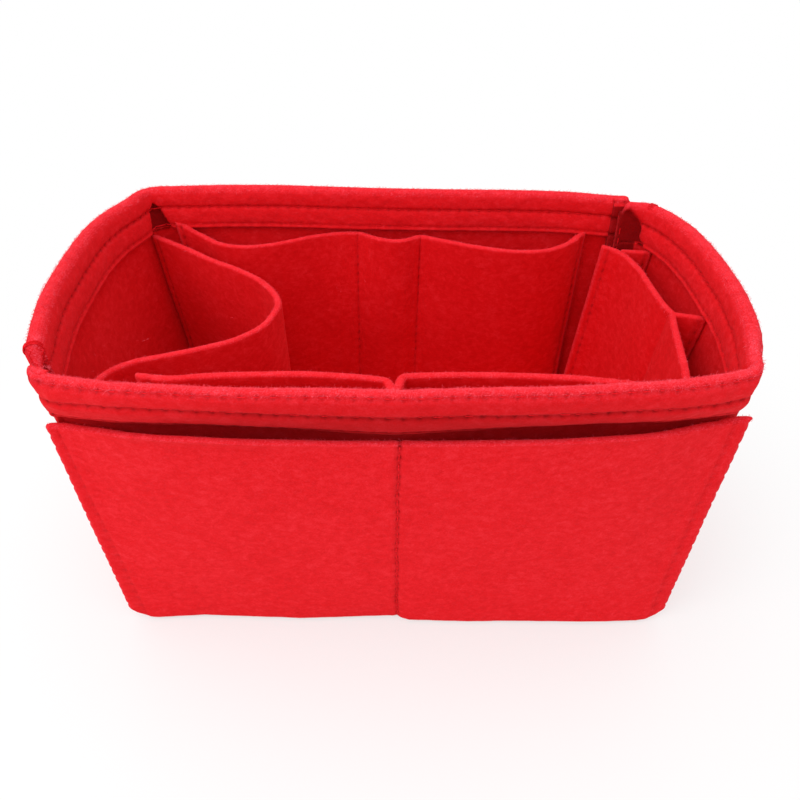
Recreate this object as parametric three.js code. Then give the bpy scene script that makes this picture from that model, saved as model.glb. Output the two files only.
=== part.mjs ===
// A soft, open-topped organizer insert for a purse, sewn from flat panels of thick felt.
// Millimetres, Z up. The origin is the middle of the floor's underside, and the front faces -Y.
import * as THREE from "three";

// Felt and thread
const FELT = 3;
const THREAD_WIDTH = 0.6;
const THREAD_HEIGHT = 0.5;
const SEAM_GAP = 0.3;
const PANEL_GAP = 0.6;

// Overall shape: the floor is a plain rectangle, and the rim is bowed
const FLOOR_LENGTH = 228;
const FLOOR_WIDTH = 138;
const WALL_HEIGHT = 135;
const FRONT_BOW = 13.5;
const RIGHT_BOW = 17;
const REAR_BOW = 4.2;
const LEFT_BOW = 14;

// How far each corner of the rim stands out from the floor's corner
const FRONT_LEFT_FLARE_LENGTH = 4.5;
const FRONT_LEFT_FLARE_WIDTH = 1;
const FRONT_RIGHT_FLARE_LENGTH = 2.8;
const REAR_RIGHT_FLARE_LENGTH = -4.5;
const REAR_RIGHT_FLARE_WIDTH = 1.5;
const REAR_LEFT_FLARE_LENGTH = 13;
const REAR_LEFT_FLARE_WIDTH = 11;

// Shape of each side's bow: the share of its bow at even steps along the side
const FRONT_BOW_SHARES = [0, 0.68, 0.94, 0.99, 1, 0.99, 0.94, 0.68, 0];
const RIGHT_BOW_SHARES = [0, 0.34, 0.65, 0.83, 0.93, 1, 0.92, 0.65, 0.1];
const REAR_BOW_SHARES = [0, 0.93, 1, 0.8, 0.6, 0.6, 0.6, 0.5, 0];
const LEFT_BOW_SHARES = [0.15, 0.66, 0.94, 1, 0.97, 0.9, 0.7, 0.41, 0.1];

// Corners of the two wall strips
const RIGHT_FOLD = 5;
const LEFT_FOLD = 12;
const TURN_IN = 5;
const RIGHT_END_SWEEP = 8.5;
const LEFT_END_SWEEP = 3.5;
const TURN_SHARE = 0.9;

// Hem: the top of each strip is folded in and held by three rows of stitches
const HEM_THICKNESS = 5.7;
const HEM_DEPTH = 19.5;
const HEM_ROUND = 1.6;
const FIRST_ROW_DEPTH = 2.5;
const LAST_ROW_LIFT = 2;
const CUT_BACK_SHARE = 0.1;
const CUT_BACK_STEP_SHARE = 0.035;

// Outer pocket on the front wall
const POCKET_BELOW_HEM = 2;
const POCKET_FOOT = 1;
const POCKET_LEFT_TOP_OVERHANG = 4.5;
const POCKET_LEFT_FOOT_OVERHANG = 4;
const POCKET_RIGHT_TOP_OVERHANG = 3;
const POCKET_RIGHT_FOOT_OVERHANG = 1;
const POCKET_TUCK_DEPTH = 2;
const POCKET_MOUTH = 7.5;
const SIDE_SEAM_INSET = 3.5;

// Panels inside stand just above the floor's seam, their tops just below the hem
const PANEL_FOOT_LIFT = 1.2;
const PANEL_TOP_DROP = 0.7;

// Rear inner pocket: ends and seams as shares of the rear side, from right to left, at top and foot
const REAR_POCKET_SHARES = [0.073, 0.441, 0.581, 0.966];
const REAR_POCKET_FOOT_SHARES = [0.1, 0.483, 0.628, 0.966];
const REAR_POCKET_BULGES = [16.5, 8, 14.5];
const REAR_PEAK_SHARES = [0.36, 0.5, 0.62];
const REAR_FOOT_SHARE = 0.25;
const REAR_THREAD_SHARE = 0.01;

// Front inner pocket: it rises over the hem
const FRONT_POCKET_SHARES = [0.13, 0.5, 0.838];
const FRONT_POCKET_DROP = 5.5;
const FRONT_POCKET_BULGES = [10.6, 11];
const FRONT_FOOT_SHARE = 0.2;
const FRONT_BELLY_SHARE = 0.7;
const FRONT_CORNER_LIFTS = [5, 1.5];

// Bottle holder: a loop of strip whose plan is shares of the floor's length and width
const HOLDER_PLAN_SHARES = [
  [-0.451, 0.396],
  [-0.388, 0.314],
  [-0.329, 0.25],
  [-0.276, 0.177],
  [-0.243, 0.107],
  [-0.225, 0.04],
  [-0.226, -0.02],
  [-0.241, -0.099],
  [-0.28, -0.166],
  [-0.333, -0.21],
  [-0.386, -0.243],
  [-0.437, -0.275],
  [-0.47, -0.33],
];
const HOLDER_FRONT_STEP = 5.5;
const HOLDER_FRONT_GAP = 1.8;
const HOLDER_REAR_GAP = 0.8;
const HOLDER_END_SHARE = 0.6;
const HOLDER_PULL_SHARE = 0.1;

// Cells at the right end: a leaning panel and two ribs
const CELL_PLAN_SHARES = [
  [0.428, 0.414],
  [0.45, 0.384],
  [0.466, 0.338],
  [0.477, 0.244],
  [0.479, 0.16],
  [0.481, 0.072],
  [0.483, -0.029],
  [0.478, -0.116],
  [0.464, -0.243],
  [0.45, -0.346],
  [0.437, -0.42],
];
const CELL_LEAN = 8.9;
const CELL_FRONT_SHARE = 0.945;
const CELL_FRONT_GAP = 2;
const RIB_GAP = 1;
const RIB_REAR_SHARES = { inner: 0.378, outer: 0.366 };
const RIB_MIDDLE_SHARES = { inner: -0.03, outer: -0.058 };
const RIB_SEAM_SHARE = 0.2;

// Floor
const FLOOR_CLEAR = 0.9;
const FLOOR_SEAM_CORNER = 14;
const FLOOR_FOLD_CORNER = 10;
const FLOOR_SEAM_INSET = 3;

// Bar tacks over the two corner seams
const TACK_LENGTH = 7;
const TACK_WIDTH = 1.2;

// Steps along the curves
const FRONT_STEPS = 16;
const END_STEPS = 10;
const REAR_STEPS = 12;
const TURN_STEPS = 6;
const SWEEP_STEPS = 4;
const FOLD_STEPS = 4;
const SHARP_FOLD_STEPS = 1;
const POCKET_STEP_SHARES = [0, 0.05, 0.16, 0.3, 0.44, 0.58, 0.72, 0.85, 0.95, 1];
const LOOP_STEPS = 40;
const CELL_STEPS = 28;
const WALL_LEVEL_SHARES = [0.27, 0.54, 0.8];

// Heights that follow from the sizes above
const hemFoot = WALL_HEIGHT - HEM_DEPTH;
const pocketHeight = hemFoot - POCKET_BELOW_HEM;
const firstRow = WALL_HEIGHT - FIRST_ROW_DEPTH;
const lastRow = hemFoot + LAST_ROW_LIFT;
const middleRow = (firstRow + lastRow) / 2;
const pinch = lastRow - THREAD_WIDTH;
const wallLevels = WALL_LEVEL_SHARES.map((share) => share * pocketHeight);
const panelFoot = FELT + PANEL_FOOT_LIFT;
const panelTop = hemFoot - PANEL_TOP_DROP;
const turnRadius = FELT + SEAM_GAP;

const felt = new THREE.MeshStandardMaterial({ color: 0xdc2a30, roughness: 0.95, metalness: 0 });
const thread = new THREE.MeshStandardMaterial({ color: 0xb8101c, roughness: 0.7, metalness: 0 });
const organizer = new THREE.Group();

// Value between two values
const mix = (a, b, share) => a + (b - a) * share;

// Unit vector to the left of the way from a to b
function leftOf(a, b) {
  const way = b.clone().sub(a).normalize();
  return new THREE.Vector2(-way.y, way.x);
}

// Left normal at each point of a plan line, halfway between its two stretches
function normalsOf(line) {
  return line.map((point, i) => {
    const before = leftOf(line[Math.max(i - 1, 0)], line[Math.max(i, 1)]);
    const after = leftOf(line[Math.min(i, line.length - 2)], line[Math.min(i + 1, line.length - 1)]);
    return before.add(after).normalize();
  });
}

// Share of a bow at a share t of its side, smooth through the table's even steps
function bowShare(shares, t) {
  const points = shares.map((share, i) => new THREE.Vector2(i / (shares.length - 1), share));
  return new THREE.SplineCurve(points).getPoint(Math.min(Math.max(t, 0), 1)).y;
}

// Points of a quarter or other soft turn from a to b round a corner
function softTurn(a, corner, b, steps) {
  return new THREE.QuadraticBezierCurve(a, corner, b).getPoints(steps);
}

// Corner of the walls at a height
function cornerAt(signX, signY, flareLength, flareWidth, z) {
  const share = z / WALL_HEIGHT;
  const x = signX * (FLOOR_LENGTH / 2 + flareLength * share);
  const y = signY * (FLOOR_WIDTH / 2 + flareWidth * share);
  return new THREE.Vector2(x, y);
}

function frontLeft(z) {
  return cornerAt(-1, -1, FRONT_LEFT_FLARE_LENGTH, FRONT_LEFT_FLARE_WIDTH, z).add(tuckAt(z));
}

function frontRight(z) {
  return cornerAt(1, -1, FRONT_RIGHT_FLARE_LENGTH, 0, z).add(tuckAt(z));
}

function rearRight(z) {
  return cornerAt(1, 1, REAR_RIGHT_FLARE_LENGTH, REAR_RIGHT_FLARE_WIDTH, z);
}

function rearLeft(z) {
  return cornerAt(-1, 1, REAR_LEFT_FLARE_LENGTH, REAR_LEFT_FLARE_WIDTH, z);
}

// Point of a bowed side at a share t of the way from a to b
function sidePoint(a, b, bow, shares, z, t) {
  const point = a.clone().lerp(b, t);
  const out = leftOf(a, b).negate();
  return point.addScaledVector(out, (bow * bowShare(shares, t) * z) / WALL_HEIGHT);
}

// How far the front wall stands back below the hem, all along and between the pocket's seams
function tuckAt(z) {
  const above = Math.max((pinch - z) / (pinch - pocketHeight), 0);
  return new THREE.Vector2(0, POCKET_TUCK_DEPTH * Math.min(above, z / pocketHeight));
}

function mouthAt(z, t) {
  const between = Math.abs(Math.sin(2 * Math.PI * t));
  if (z >= pinch) return 0;
  if (z <= pocketHeight) return POCKET_MOUTH * between * (z / pocketHeight) ** 2;
  return (POCKET_MOUTH * between * (pinch - z)) / (pinch - pocketHeight);
}

// Outer face of the front, in line with the outer pocket's seams, then with the wall itself
function frontSeamPoint(z, t) {
  const a = frontLeft(z).add(new THREE.Vector2(turnRadius, 0));
  const b = frontRight(z).sub(new THREE.Vector2(RIGHT_FOLD, 0));
  return sidePoint(a, b, FRONT_BOW, FRONT_BOW_SHARES, z, t);
}

function frontWallPoint(z, t) {
  const point = frontSeamPoint(z, t);
  point.y += mouthAt(z, t);
  return point;
}

// Outer face of the rear wall
function rearWallPoint(z, t) {
  const a = rearRight(z).sub(new THREE.Vector2(turnRadius, 0));
  const b = rearLeft(z).add(new THREE.Vector2(LEFT_FOLD, 0));
  return sidePoint(a, b, REAR_BOW, REAR_BOW_SHARES, z, t);
}

// Point on the plane of a corner seam, a step along the wall that turns back on itself there
function seamPoint(corner, along, inward, step, depth) {
  return corner.clone().addScaledVector(along, step).addScaledVector(inward, depth);
}

// Start of a strip: its end is folded flat against its own wall
function turnedStart(corner, along, inward) {
  const line = [seamPoint(corner, along, inward, turnRadius + TURN_IN, 2 * turnRadius)];
  for (let i = 0; i < TURN_STEPS; i += 1) {
    const angle = (Math.PI * i) / TURN_STEPS;
    const step = turnRadius * (1 - Math.sin(angle));
    line.push(seamPoint(corner, along, inward, step, turnRadius * (1 + Math.cos(angle))));
  }
  return line;
}

// End of a strip: it sweeps in and lies against the other strip's folded start
function sweptEnd(lastPoint, corner, along, inward, sweep) {
  const depth = 2 * turnRadius + SEAM_GAP;
  const bend = seamPoint(corner, along, inward, -sweep, depth);
  const flat = seamPoint(corner, along, inward, turnRadius, depth);
  const tip = seamPoint(corner, along, inward, turnRadius + TURN_IN, depth);
  return [...softTurn(lastPoint, bend, flat, SWEEP_STEPS).slice(1), tip];
}

// Evenly spaced shares from a first to a last one
function sharesOf(first, last, steps) {
  return Array.from({ length: steps + 1 }, (_, i) => mix(first, last, i / steps));
}

// Shares along a strip's first side, with one more where its hem begins
function firstSideShares(steps) {
  return [0, CUT_BACK_STEP_SHARE, ...sharesOf(0, 1, steps).slice(1)];
}

// Outer line of the strip that makes the front and the right end
function frontRightLine(z) {
  const [a, b, c] = [frontLeft(z), frontRight(z), rearRight(z)];
  const x = new THREE.Vector2(1, 0);
  const y = new THREE.Vector2(0, 1);
  const front = firstSideShares(FRONT_STEPS).map((t) => frontWallPoint(z, t));
  const up = leftOf(b, c).negate();
  const foldEnd = b.clone().addScaledVector(new THREE.Vector2(-up.y, up.x), RIGHT_FOLD);
  const end = sharesOf(0, TURN_SHARE, END_STEPS).map((t) =>
    sidePoint(foldEnd, c, RIGHT_BOW, RIGHT_BOW_SHARES, z, t),
  );
  const fold = softTurn(front.at(-1), b, end[0], SHARP_FOLD_STEPS).slice(1, -1);
  const tail = sweptEnd(end.at(-1), c, x.clone().negate(), y.clone().negate(), RIGHT_END_SWEEP);
  return [...turnedStart(a, x, y), ...front, ...fold, ...end, ...tail];
}

// Outer line of the strip that makes the rear and the left end
function rearLeftLine(z) {
  const [a, b, c] = [rearRight(z), rearLeft(z), frontLeft(z)];
  const x = new THREE.Vector2(1, 0);
  const y = new THREE.Vector2(0, 1);
  const rear = firstSideShares(REAR_STEPS).map((t) => rearWallPoint(z, t));
  const foldEnd = b.clone().add(new THREE.Vector2(0, -LEFT_FOLD));
  const end = sharesOf(0, TURN_SHARE, END_STEPS).map((t) =>
    sidePoint(foldEnd, c, LEFT_BOW, LEFT_BOW_SHARES, z, t),
  );
  const fold = softTurn(rear.at(-1), b, end[0], FOLD_STEPS).slice(1, -1);
  const tail = sweptEnd(end.at(-1), c, x, y, LEFT_END_SWEEP);
  const start = turnedStart(a, x.clone().negate(), y.clone().negate());
  return [...start, ...rear, ...fold, ...end, ...tail];
}

// Triangles of a strip's end, level by level: its section's first half rises, the second falls
function capFaces(count, first, atStart) {
  const faces = [];
  for (let low = 0; low + 1 < count / 2; low += 1) {
    const [a, b] = [first + low, first + low + 1];
    const [c, d] = [first + count - 2 - low, first + count - 1 - low];
    faces.push(...(atStart ? [a, b, c, a, c, d] : [a, c, b, a, d, c]));
  }
  return faces;
}

// A closed body: a section of offsets and heights, carried along the plan line of each height
function strip(lineAt, sectionAt) {
  const lines = new Map();
  const places = [];
  const faces = [];
  const count = sectionAt(0).length;
  const stations = lineAt(sectionAt(0)[0].z).length;
  for (let i = 0; i < stations; i += 1) {
    for (const { off, z } of sectionAt(i)) {
      if (!lines.has(z)) {
        const line = lineAt(z);
        lines.set(z, { line, normals: normalsOf(line) });
      }
      const { line, normals } = lines.get(z);
      const point = line[i].clone().addScaledVector(normals[i], off);
      places.push(point.x, point.y, z);
    }
  }
  for (let i = 0; i + 1 < stations; i += 1) {
    const section = sectionAt(i);
    for (let j = 0; j < count; j += 1) {
      const k = (j + 1) % count;
      const [a, b] = [i * count + j, i * count + k];
      const [c, d] = [a + count, b + count];
      const rising = section[k].z >= section[j].z;
      faces.push(...(rising ? [a, c, d, a, d, b] : [a, c, b, c, d, b]));
    }
  }
  faces.push(...capFaces(count, 0, true));
  faces.push(...capFaces(count, (stations - 1) * count, false));
  const geometry = new THREE.BufferGeometry();
  geometry.setAttribute("position", new THREE.Float32BufferAttribute(places, 3));
  geometry.setIndex(faces);
  geometry.computeVertexNormals();
  return geometry;
}

// Section between two offsets through rising levels
function slab(near, far, levels) {
  const rising = levels.map((z) => ({ off: near, z }));
  const falling = [...levels].reverse().map((z) => ({ off: far, z }));
  return [...rising, ...falling];
}

function addPiece(name, geometry, material) {
  const mesh = new THREE.Mesh(geometry, material);
  mesh.name = name;
  organizer.add(mesh);
  return mesh;
}

// A felt panel, centred on its plan line
function addPanel(name, lineAt, levels) {
  addPiece(name, strip(lineAt, () => slab(-FELT / 2, FELT / 2, levels)), felt);
}

// A run of thread along a line at one height, just off a face at the given offset
function addRow(name, lineAt, z, face, side) {
  const near = face + side * SEAM_GAP;
  const far = near + side * THREAD_HEIGHT;
  const levels = [z - THREAD_WIDTH / 2, z + THREAD_WIDTH / 2];
  const section = slab(Math.min(near, far), Math.max(near, far), levels);
  addPiece(name, strip(lineAt, () => section), thread);
}

// An upright run of thread off a panel's face, at one of the points inside its line
function addSeam(name, lineAt, index, face, side, levels) {
  const near = face + side * SEAM_GAP;
  const far = near + side * THREAD_HEIGHT;
  const short = (z) => {
    const line = lineAt(z);
    const normal = normalsOf(line)[index];
    const half = new THREE.Vector2(normal.y, -normal.x).multiplyScalar(THREAD_WIDTH / 2);
    return [line[index].clone().sub(half), line[index].clone().add(half)];
  };
  const section = slab(Math.min(near, far), Math.max(near, far), levels);
  addPiece(name, strip(short, () => section), thread);
}

// Wall strips with their hems
function hemShareAt(i, count) {
  const first = TURN_STEPS + 1;
  const last = count - SWEEP_STEPS - 2;
  if (i <= first || i >= last) return CUT_BACK_SHARE;
  return 1;
}

function wallSection(hemShare) {
  const flap = mix(0, HEM_THICKNESS - FELT, hemShare);
  const inside = FELT + flap;
  const levels = [0, ...wallLevels, pocketHeight, hemFoot];
  const rows = [lastRow, middleRow, WALL_HEIGHT - HEM_ROUND];
  return [
    ...[...levels, mix(hemFoot, pinch, 0.5), pinch, ...rows].map((z) => ({ off: 0, z })),
    { off: HEM_ROUND / 2, z: WALL_HEIGHT },
    { off: inside - HEM_ROUND / 2, z: WALL_HEIGHT },
    ...[hemFoot, pinch, ...rows].reverse().map((z) => ({ off: inside, z })),
    ...levels.reverse().map((z) => ({ off: FELT, z })),
  ];
}

function addWall(name, lineAt) {
  const count = lineAt(0).length;
  addPiece(name, strip(lineAt, (i) => wallSection(hemShareAt(i, count))), felt);
}

// Hem rows leave out the turned ends, outside and inside
function addHemRows(prefix, lineAt) {
  const kept = (z) => lineAt(z).slice(TURN_STEPS + 2, -(SWEEP_STEPS + 2));
  for (const [row, z] of Object.entries({ top: firstRow, middle: middleRow, bottom: lastRow })) {
    addRow(`${prefix}_thread_${row}_outside`, kept, z, 0, -1);
    addRow(`${prefix}_thread_${row}_inside`, kept, z, HEM_THICKNESS, 1);
  }
}

addWall("wall_front_right", frontRightLine);
addWall("wall_rear_left", rearLeftLine);
addHemRows("hem_front_right", frontRightLine);
addHemRows("hem_rear_left", rearLeftLine);

// Floor panel, cut off at the two seamed corners and rounded at the two folded ones
function floorShape(inset) {
  const x = FLOOR_LENGTH / 2 - FELT - FLOOR_CLEAR - inset;
  const y = FLOOR_WIDTH / 2 - FELT - FLOOR_CLEAR - inset;
  const cut = FLOOR_SEAM_CORNER;
  const round = FLOOR_FOLD_CORNER;
  const shape = new THREE.Shape();
  shape.moveTo(-x + cut, -y);
  shape.lineTo(x - round, -y);
  shape.quadraticCurveTo(x, -y, x, -y + round);
  shape.lineTo(x, y - cut);
  shape.lineTo(x - cut, y);
  shape.lineTo(-x + round, y);
  shape.quadraticCurveTo(-x, y, -x, y - round);
  shape.lineTo(-x, -y + cut);
  shape.closePath();
  return shape;
}

function addFloor() {
  const settings = { bevelEnabled: false, curveSegments: FOLD_STEPS };
  const panel = new THREE.ExtrudeGeometry(floorShape(0), { ...settings, depth: FELT });
  addPiece("base_panel", panel, felt);
  const ring = floorShape(FLOOR_SEAM_INSET);
  ring.holes.push(floorShape(FLOOR_SEAM_INSET + THREAD_WIDTH));
  const seam = new THREE.ExtrudeGeometry(ring, { ...settings, depth: THREAD_HEIGHT });
  addPiece("base_thread", seam, thread).position.z = FELT + SEAM_GAP;
}

addFloor();

// Outer pocket: a flat panel over the front wall, a little wider than it
function outerPocketLine(z) {
  const height = z / pocketHeight;
  const start = -FLOOR_LENGTH / 2 - mix(POCKET_LEFT_FOOT_OVERHANG, POCKET_LEFT_TOP_OVERHANG, height);
  const end = FLOOR_LENGTH / 2 + mix(POCKET_RIGHT_FOOT_OVERHANG, POCKET_RIGHT_TOP_OVERHANG, height);
  const wall = firstSideShares(FRONT_STEPS).map((t) => frontSeamPoint(z, t));
  const [first, last] = [wall[0], wall.at(-1)];
  const left = [start, start + SIDE_SEAM_INSET].map((x) => new THREE.Vector2(x, first.y));
  const right = [end - SIDE_SEAM_INSET, end].map((x) => new THREE.Vector2(x, last.y));
  return [...left, ...wall, ...right];
}

const pocketLevels = [POCKET_FOOT, ...wallLevels, pocketHeight];
const pocketFace = -FELT - SEAM_GAP;

function addOuterPocket() {
  const section = slab(pocketFace, -SEAM_GAP, pocketLevels);
  addPiece("front_outer_pocket", strip(outerPocketLine, () => section), felt);
  const seams = { left: 1, middle: 3 + FRONT_STEPS / 2, right: FRONT_STEPS + 4 };
  for (const [place, index] of Object.entries(seams)) {
    const name = `outer_pocket_thread_${place}`;
    addSeam(name, outerPocketLine, index, pocketFace, -1, pocketLevels);
  }
}

addOuterPocket();

// Bulge of an open pocket at a share t between its seams, highest at the peak share
function bulgeShare(t, peak) {
  return Math.sin(Math.PI * t ** (Math.log(0.5) / Math.log(peak)));
}

// Ends and seams of the rear inner pocket at a height
function rearSharesAt(z) {
  const height = (z - panelFoot) / (panelTop - panelFoot);
  return REAR_POCKET_SHARES.map((share, n) => mix(REAR_POCKET_FOOT_SHARES[n], share, height));
}

// Rear inner pocket: three open pockets side by side
function rearPocketLine(z) {
  const rise = mix(REAR_FOOT_SHARE, 1, (z - panelFoot) / (panelTop - panelFoot));
  const shares = rearSharesAt(z);
  const line = [];
  REAR_POCKET_BULGES.forEach((bulge, n) => {
    const [first, last] = shares.slice(n, n + 2);
    POCKET_STEP_SHARES.slice(n ? 1 : 0).forEach((share) => {
      const point = rearWallPoint(z, mix(first, last, share));
      const out = bulge * rise * bulgeShare(share, REAR_PEAK_SHARES[n]);
      point.y -= FELT + PANEL_GAP + FELT / 2 + out;
      line.push(point);
    });
  });
  return line;
}

const panelLevels = [panelFoot, ...wallLevels, panelTop];

function addRearPocket() {
  addPanel("rear_inner_pocket", rearPocketLine, panelLevels);
  const steps = POCKET_STEP_SHARES.length - 1;
  const last = REAR_POCKET_BULGES.length * steps;
  const indexes = { right: 1, middle_right: steps, middle_left: 2 * steps, left: last - 1 };
  Object.entries(indexes).forEach(([place, index], n) => {
    addSeam(`rear_pocket_thread_${place}`, rearPocketLine, index, FELT / 2, 1, panelLevels);
    const wall = (z) => [-1, 0, 1].map((step) =>
      rearWallPoint(z, rearSharesAt(z)[n] + step * REAR_THREAD_SHARE),
    );
    addSeam(`rear_wall_thread_${place}`, wall, 1, 0, -1, panelLevels);
  });
}

addRearPocket();

// Front inner pocket: two pockets whose top lies over the hem
const frontPocketTop = WALL_HEIGHT - FRONT_POCKET_DROP;
const frontPocketLevels = [panelFoot, ...wallLevels, pocketHeight, hemFoot, lastRow, frontPocketTop];

function frontInnerFace(z, t) {
  const thickness = z < hemFoot ? FELT : HEM_THICKNESS + SEAM_GAP + THREAD_HEIGHT;
  return frontWallPoint(z, t).y + thickness;
}

function frontPocketLine(z) {
  const height = (z - panelFoot) / (frontPocketTop - panelFoot);
  const rise = mix(FRONT_FOOT_SHARE, 1, Math.min(height / FRONT_BELLY_SHARE, 1));
  const line = [];
  FRONT_POCKET_BULGES.forEach((bulge, n) => {
    const [first, last] = FRONT_POCKET_SHARES.slice(n, n + 2);
    POCKET_STEP_SHARES.slice(n).forEach((share) => {
      const t = mix(first, last, share);
      const free = n ? share : 1 - share;
      const lift = z > lastRow ? FRONT_CORNER_LIFTS[n] * free ** 2 : 0;
      const out = bulge * rise * bulgeShare(share, 0.5) + lift;
      const y = frontInnerFace(z, t) + PANEL_GAP + FELT / 2 + out;
      line.push(new THREE.Vector2(frontWallPoint(z, t).x, y));
    });
  });
  return line;
}

function addFrontPocket() {
  addPanel("front_inner_pocket", frontPocketLine, frontPocketLevels);
  const steps = POCKET_STEP_SHARES.length - 1;
  const indexes = { left: 1, middle: steps, right: 2 * steps - 1 };
  for (const [place, index] of Object.entries(indexes)) {
    const name = `front_pocket_thread_${place}`;
    addSeam(name, frontPocketLine, index, FELT / 2, 1, frontPocketLevels);
  }
}

addFrontPocket();

// Bottle holder: from the rear left fold, round in a loop, to the front left seam
function holderLine(z) {
  const wall = rearLeftLine(z);
  const fold = TURN_STEPS + 2 + REAR_STEPS + FOLD_STEPS / 2;
  const start = wall[fold].clone().addScaledVector(normalsOf(wall)[fold], FELT + HOLDER_REAR_GAP);
  const x = new THREE.Vector2(1, 0);
  const y = new THREE.Vector2(0, 1);
  const step = turnRadius + HOLDER_FRONT_STEP;
  const depth = 2 * turnRadius + SEAM_GAP + FELT + HOLDER_FRONT_GAP;
  const end = seamPoint(frontLeft(z), x, y, step, depth);
  const sink = 1 - z / panelTop;
  const middle = HOLDER_PLAN_SHARES.map(([shareX, shareY], i) => {
    const point = new THREE.Vector2(shareX * FLOOR_LENGTH, shareY * FLOOR_WIDTH);
    const fromMiddle = Math.abs((2 * i) / (HOLDER_PLAN_SHARES.length - 1) - 1);
    const near = Math.max(fromMiddle + HOLDER_END_SHARE - 1, 0);
    return point.multiplyScalar(1 - near * sink * HOLDER_PULL_SHARE);
  });
  return new THREE.SplineCurve([start, ...middle, end]).getSpacedPoints(LOOP_STEPS);
}

addPanel("bottle_holder", holderLine, panelLevels);
addSeam("holder_thread_rear", holderLine, 1, FELT / 2, 1, panelLevels);
addSeam("holder_thread_front", holderLine, LOOP_STEPS - 1, FELT / 2, 1, panelLevels);

// Cells: the long panel leans in towards its foot
function cellLine(z) {
  const lean = CELL_LEAN * (1 - z / panelTop);
  const points = CELL_PLAN_SHARES.map(
    ([shareX, shareY]) => new THREE.Vector2(shareX * FLOOR_LENGTH - lean, shareY * FLOOR_WIDTH),
  );
  const share = CELL_FRONT_SHARE - lean / FLOOR_LENGTH;
  const y = frontInnerFace(z, share) + CELL_FRONT_GAP;
  const end = new THREE.Vector2(frontWallPoint(z, share).x, y);
  return new THREE.SplineCurve([...points, end]).getSpacedPoints(CELL_STEPS);
}

// X of a plan line where it crosses a Y
function crossing(line, y) {
  for (let i = 0; i + 1 < line.length; i += 1) {
    const [a, b] = [line[i], line[i + 1]];
    if ((a.y - y) * (b.y - y) <= 0 && a.y !== b.y) return mix(a.x, b.x, (y - a.y) / (b.y - a.y));
  }
  return line[0].x;
}

// A line moved to its left by an offset
function offsetLine(line, off) {
  const normals = normalsOf(line);
  return line.map((point, i) => point.clone().addScaledVector(normals[i], off));
}

// A rib from the cell panel's far face to the right wall's inner face
function ribLine(rib, z) {
  const panel = offsetLine(cellLine(z), FELT / 2);
  const wall = offsetLine(frontRightLine(z).slice(TURN_STEPS + FRONT_STEPS, -SWEEP_STEPS), FELT);
  const [innerY, outerY] = [rib.inner * FLOOR_WIDTH, rib.outer * FLOOR_WIDTH];
  const edges = [-FELT / 2, 0, FELT / 2];
  const from = Math.max(...edges.map((edge) => crossing(panel, innerY + edge))) + RIB_GAP;
  const to = Math.min(...edges.map((edge) => crossing(wall, outerY + edge))) - RIB_GAP;
  const [start, end] = [new THREE.Vector2(from, innerY), new THREE.Vector2(to, outerY)];
  return [start, end.clone().lerp(start, RIB_SEAM_SHARE), end];
}

function addCells() {
  addPanel("cell_panel", cellLine, panelLevels);
  addSeam("cell_thread_rear", cellLine, 1, -FELT / 2, -1, panelLevels);
  addSeam("cell_thread_front", cellLine, CELL_STEPS - 1, -FELT / 2, -1, panelLevels);
  const ribs = { rear: RIB_REAR_SHARES, middle: RIB_MIDDLE_SHARES };
  for (const [place, rib] of Object.entries(ribs)) {
    const line = (z) => ribLine(rib, z);
    addPanel(`cell_rib_${place}`, line, panelLevels);
    addSeam(`cell_rib_thread_${place}`, line, 1, -FELT / 2, -1, panelLevels);
  }
}

addCells();

// Corner seams: thread on the inner face of the turned ends, and a bar tack over the top
function addCornerSeam(place, lineAt, cornerAtHeight, side, levels) {
  addSeam(`corner_thread_${place}`, lineAt, lineAt(0).length - 2, FELT, 1, levels);
  const size = [TACK_WIDTH, TACK_LENGTH, THREAD_HEIGHT];
  const tack = addPiece(`bar_tack_${place}`, new THREE.BoxGeometry(...size), thread);
  const corner = cornerAtHeight(WALL_HEIGHT);
  const x = corner.x + side * (turnRadius + TURN_IN / 2);
  const y = corner.y + side * (2 * turnRadius + SEAM_GAP / 2);
  tack.position.set(x, y, WALL_HEIGHT + SEAM_GAP + THREAD_HEIGHT / 2);
}

const cornerLevels = [panelFoot, ...wallLevels, panelTop, WALL_HEIGHT - HEM_ROUND * 2];
addCornerSeam("front_left", rearLeftLine, frontLeft, 1, [hemFoot, WALL_HEIGHT - HEM_ROUND * 2]);
addCornerSeam("rear_right", frontRightLine, rearRight, -1, cornerLevels);

export default organizer;
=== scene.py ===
import math

import bmesh
import bpy
import numpy as np
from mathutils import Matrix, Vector, noise


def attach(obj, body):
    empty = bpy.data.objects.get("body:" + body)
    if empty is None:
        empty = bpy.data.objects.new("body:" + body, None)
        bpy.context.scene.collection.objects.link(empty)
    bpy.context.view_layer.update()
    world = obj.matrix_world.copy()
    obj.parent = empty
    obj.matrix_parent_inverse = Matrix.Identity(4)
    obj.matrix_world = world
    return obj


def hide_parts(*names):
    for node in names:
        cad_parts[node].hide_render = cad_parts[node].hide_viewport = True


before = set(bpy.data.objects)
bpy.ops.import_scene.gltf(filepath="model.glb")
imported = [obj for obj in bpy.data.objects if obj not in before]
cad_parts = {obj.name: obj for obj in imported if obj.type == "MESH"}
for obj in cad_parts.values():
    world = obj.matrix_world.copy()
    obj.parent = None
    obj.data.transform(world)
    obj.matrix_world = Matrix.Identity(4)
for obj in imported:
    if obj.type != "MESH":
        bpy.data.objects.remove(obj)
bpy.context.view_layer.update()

MM = 0.001

# Felt and thread
FELT = 3.0
STITCH = 4.9
THREAD_RADIUS = 0.27
GROOVE_WIDTH = 0.75
GROOVE_DEPTH = 0.5
HOLE_WIDTH = 0.6
THREAD_STEP, PATH_STEP = 0.42, 0.5
SEWN_GAP = 0.6

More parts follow.
